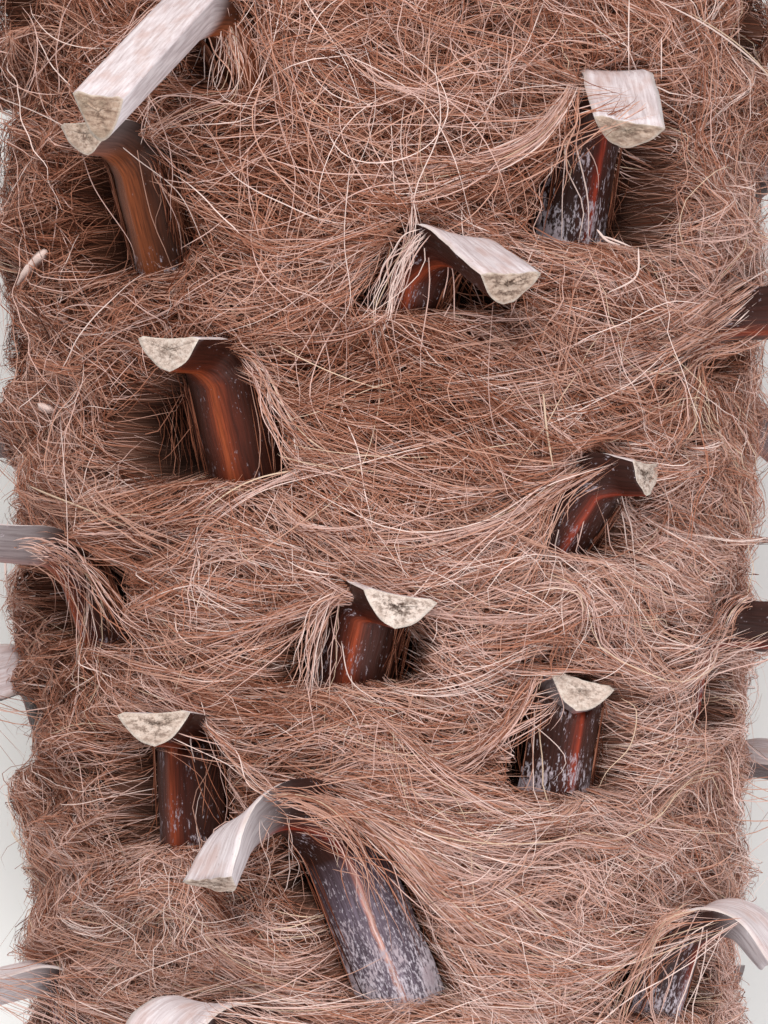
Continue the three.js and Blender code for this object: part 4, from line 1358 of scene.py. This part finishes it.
# Loose tangles, in the photo's pixels: middle, size, number of strands and how much they hang
TANGLES = (
    (270, 55, 40, 50, 0.7), (745, 288, 40, 90, 0.2), (700, 120, 70, 60, 0.3), (50, 60, 50, 40, 0.3),
    (330, 240, 60, 50, 0.4), (600, 330, 80, 60, 0.2), (480, 60, 60, 40, 0.4), (430, 130, 70, 50, 0.4),
    (300, 60, 60, 40, 0.5), (60, 420, 60, 40, 0.3), (690, 210, 60, 50, 0.2), (170, 130, 50, 40, 0.4),
)

# Straws, threads and chips that stand out, in the photo's pixels, with their half width in mm
STRAWS = (
    (((45, 485), (90, 507), (135, 528)), 0.45, "straw"),
    (((540, 392), (544, 430), (551, 470)), 0.4, "straw"),
    (((4, 520), (12, 555), (22, 592)), 0.45, "pale"),
    (((621, 248), (618, 278), (590, 295)), 0.4, "pale"),
    (((604, 0), (605, 40), (607, 80)), 0.25, "pale"),
    (((636, 40), (641, 62), (646, 82)), 0.25, "pale"),
    (((640, 0), (690, 30), (735, 75), (764, 120)), 0.35, "pale"),
    (((660, 15), (710, 50), (745, 95), (757, 140)), 0.25, "straw"),
    (((430, 60), (436, 130), (412, 200), (420, 270), (352, 330)), 0.25, "pale"),
    (((352, 165), (347, 240), (353, 300), (340, 330)), 0.22, "pale"),
    (((212, 98), (185, 96), (162, 110), (155, 135), (172, 160)), 0.25, "pink"),
    (((0, 92), (45, 110), (90, 135), (130, 160)), 0.25, "pale"),
    (((82, 420), (84, 500), (82, 590)), 0.2, "pale"),
    (((98, 150), (108, 190), (135, 240), (140, 265)), 0.22, "pink"),
    (((118, 132), (150, 160), (190, 195), (215, 250)), 0.22, "pale"),
    (((612, 697), (628, 710), (622, 745), (600, 770), (590, 790)), 0.2, "straw"),
    (((192, 716), (194, 740), (203, 762)), 0.3, "pale"),
    (((342, 640), (352, 680), (385, 705)), 0.25, "pale"),
    (((330, 600), (318, 645), (312, 700)), 0.25, "pale"),
    (((340, 600), (333, 650), (331, 705)), 0.22, "pink"),
    (((440, 300), (445, 270), (438, 240)), 0.25, "pink"),
    (((452, 322), (450, 275), (440, 245)), 0.25, "pink"),
    (((45, 404), (52, 411)), 2.0, "pale"),
    (((41, 250), (34, 268), (31, 286)), 2.8, "pale"),
    (((588, 230), (598, 241), (612, 246)), 0.5, "pale"),
    (((592, 236), (604, 240), (622, 248)), 0.4, "pale"),
)
STRAW_POINTS = 20


def way_through(x, y, points):
    """Evenly spaced places on a smooth way through a few places, a cubic between each two."""
    t = np.linspace(0, 1, 24, endpoint=False)[:, None]
    fine = []
    for way in (np.asarray(x, float), np.asarray(y, float)):
        pad = np.concatenate([[2 * way[0] - way[1]], way, [2 * way[-1] - way[-2]]])
        a, b, c, d = pad[:-3], pad[1:-2], pad[2:-1], pad[3:]
        curve = b + t * (c - a) / 2 + t**2 * (a - 2.5 * b + 2 * c - d / 2)
        curve = curve + t**3 * (1.5 * (b - c) + (d - a) / 2)
        fine.append(np.concatenate([curve.T.ravel(), [pad[-2]]]))
    travel = np.concatenate([[0], np.cumsum(np.hypot(np.diff(fine[0]), np.diff(fine[1])))])
    where = np.linspace(0, travel[-1], points)
    return np.interp(where, travel, fine[0]), np.interp(where, travel, fine[1])


def add_bundle(strands, leaf_number, way, count, spread, weights):
    """Strands along a way through the photo; it starts on a leaf's stub if it has a leaf."""
    points, guides = 18, 40
    guide_x, guide_y = way_through(*zip(*way), guides)
    slope_x, slope_y = np.gradient(guide_x), np.gradient(guide_y)
    size = np.hypot(slope_x, slope_y)
    t = along_strand(points)
    where = (rng.uniform(0, 0.1, (count, 1)) * (1 - t) + rng.uniform(0.45, 1, (count, 1)) * t) * (guides - 1)
    width = spread[0] + (spread[1] - spread[0]) * where / (guides - 1)
    offset = rng.normal(0, 0.6, (count, 1)) * width + smooth_noise(count, points, np.full(count, 1.6))
    offset = offset / PIXEL

    def on_guide(values):
        return np.interp(where, np.arange(guides), values)

    line_x = on_guide(guide_x) - on_guide(slope_y / size) * offset
    line_y = on_guide(guide_y) + on_guide(slope_x / size) * offset
    rise = rng.uniform(0.2, 3.5, (count, 1))
    r = np.full(line_x.shape, FIBRE_RADIUS if leaf_number is None else STUB_RADIUS)
    for _ in range(4):
        line_s, line_z = photo_place(line_x, line_y, r)
        r = outer_radius(line_s, line_z) + rise
        if leaf_number is not None:
            r = drape(line_s, line_z, r)
    line_s, line_z = photo_place(line_x, line_y, r)
    make = tube_rings if count < FEW else ribbon_rings
    strands.add(line_s, line_z, r, rng.uniform(0.11, 0.24, count), deal(count, weights), make)


def add_straws(strands):
    for way, half, shade in STRAWS:
        line_s, line_z = way_through(*photo_place(*zip(*way)), STRAW_POINTS)
        surface = outer_radius(line_s, line_z)
        r = np.linspace(surface[0], surface[-1], STRAW_POINTS)
        r = r + np.maximum(surface - r, 0).max() + 2.5
        shades = np.array([SHADE_NAMES.index(shade)])
        strands.add(line_s[None], line_z[None], r[None], np.array([half]), shades, tube_rings)


def make_fibre():
    scale = 1.0
    strands = Strands()
    add_under_mat(strands, int(30000 * scale))
    add_locks(strands, int(2000 * scale), 17, 10, (45, 170), 0.38, 1.2)
    add_locks(strands, int(1000 * scale), 13, 8, (25, 75), 0.85, 1.7)
    add_frizz(strands, int(28000 * scale))
    add_strays(strands, int(700 * scale))
    for leaf in LEAVES:
        front = abs(leaf["turn"]) < FRONT_TURN
        add_shoulders(strands, leaf, int((120 if front else 60) * scale))
        add_cave_strands(strands, leaf, int((90 if front else 30) * scale))
        add_flank_strands(strands, leaf)
        add_mane(strands, leaf, *leaf["mane"])
        add_curtain(strands, leaf, *leaf["curtain"])
    for bundle in BUNDLES:
        add_bundle(strands, *bundle)
    for tangle in TANGLES:
        add_tangle(strands, *tangle)
    add_straws(strands)
    strands.finish()


# Setting

def make_floor():
    mesh = bpy.data.meshes.new("floor")
    mesh.from_pydata([(-4, -4, 0), (4, -4, 0), (4, 4, 0), (-4, 4, 0)], [], [(0, 1, 2, 3)])
    floor = bpy.data.objects.new("floor", mesh)
    bpy.context.scene.collection.objects.link(floor)
    mesh.materials.append(plain_material("floor", (0.78, 0.77, 0.75, 1), 0.9))


def make_light(name, where, size, power, tint):
    data = bpy.data.lights.new(name, "AREA")
    data.shape = "DISK"
    data.size = size
    data.energy = power
    data.color = tint
    light = bpy.data.objects.new(name, data)
    light.location = where
    aim = Vector(centre) - Vector(where)
    light.rotation_euler = aim.to_track_quat("-Z", "Y").to_euler()
    bpy.context.scene.collection.objects.link(light)


def make_setting():
    make_floor()
    make_light("key", (-0.4, 1.2, 1.9), 1.2, 34, (1.0, 0.98, 0.95))
    make_light("fill", (0.8, -1.2, 1.7), 1.6, 24, (1.0, 0.98, 0.98))
    world = bpy.data.worlds.new("studio")
    world.use_nodes = True
    background = world.node_tree.nodes["Background"]
    background.inputs[0].default_value = (0.95, 0.97, 1.0, 1)
    background.inputs[1].default_value = 0.62
    bpy.context.scene.world = world
    bpy.context.scene.view_settings.view_transform = "Standard"


def make_camera():
    data = bpy.data.cameras.new("camera")
    data.sensor_width = 36
    data.lens = EYE / PIXEL * data.sensor_width / PHOTO_HEIGHT
    data.clip_start = 0.05
    camera = bpy.data.objects.new("camera", data)
    bpy.context.scene.collection.objects.link(camera)
    beside = (PHOTO_WIDTH / 2 - AXIS_PX) * PIXEL
    eye = trunk_to_world @ Vector((beside, -EYE, 0))
    turn = trunk_to_world.to_3x3().normalized()
    right, up, back = turn @ Vector((1, 0, 0)), turn @ Vector((0, 0, 1)), turn @ Vector((0, -1, 0))
    basis = Matrix((right, up, back)).transposed().to_4x4()
    camera.matrix_world = Matrix.Translation(eye) @ basis
    bpy.context.scene.camera = camera


def main():
    leaf_materials = [plank_material(), top_material(), cut_material()]
    for leaf in LEAVES:
        make_leaf_base(leaf, leaf_materials)
    make_sheath(sheath_material())
    make_core(wood_material())
    make_fibre()
    make_setting()
    make_camera()


main()
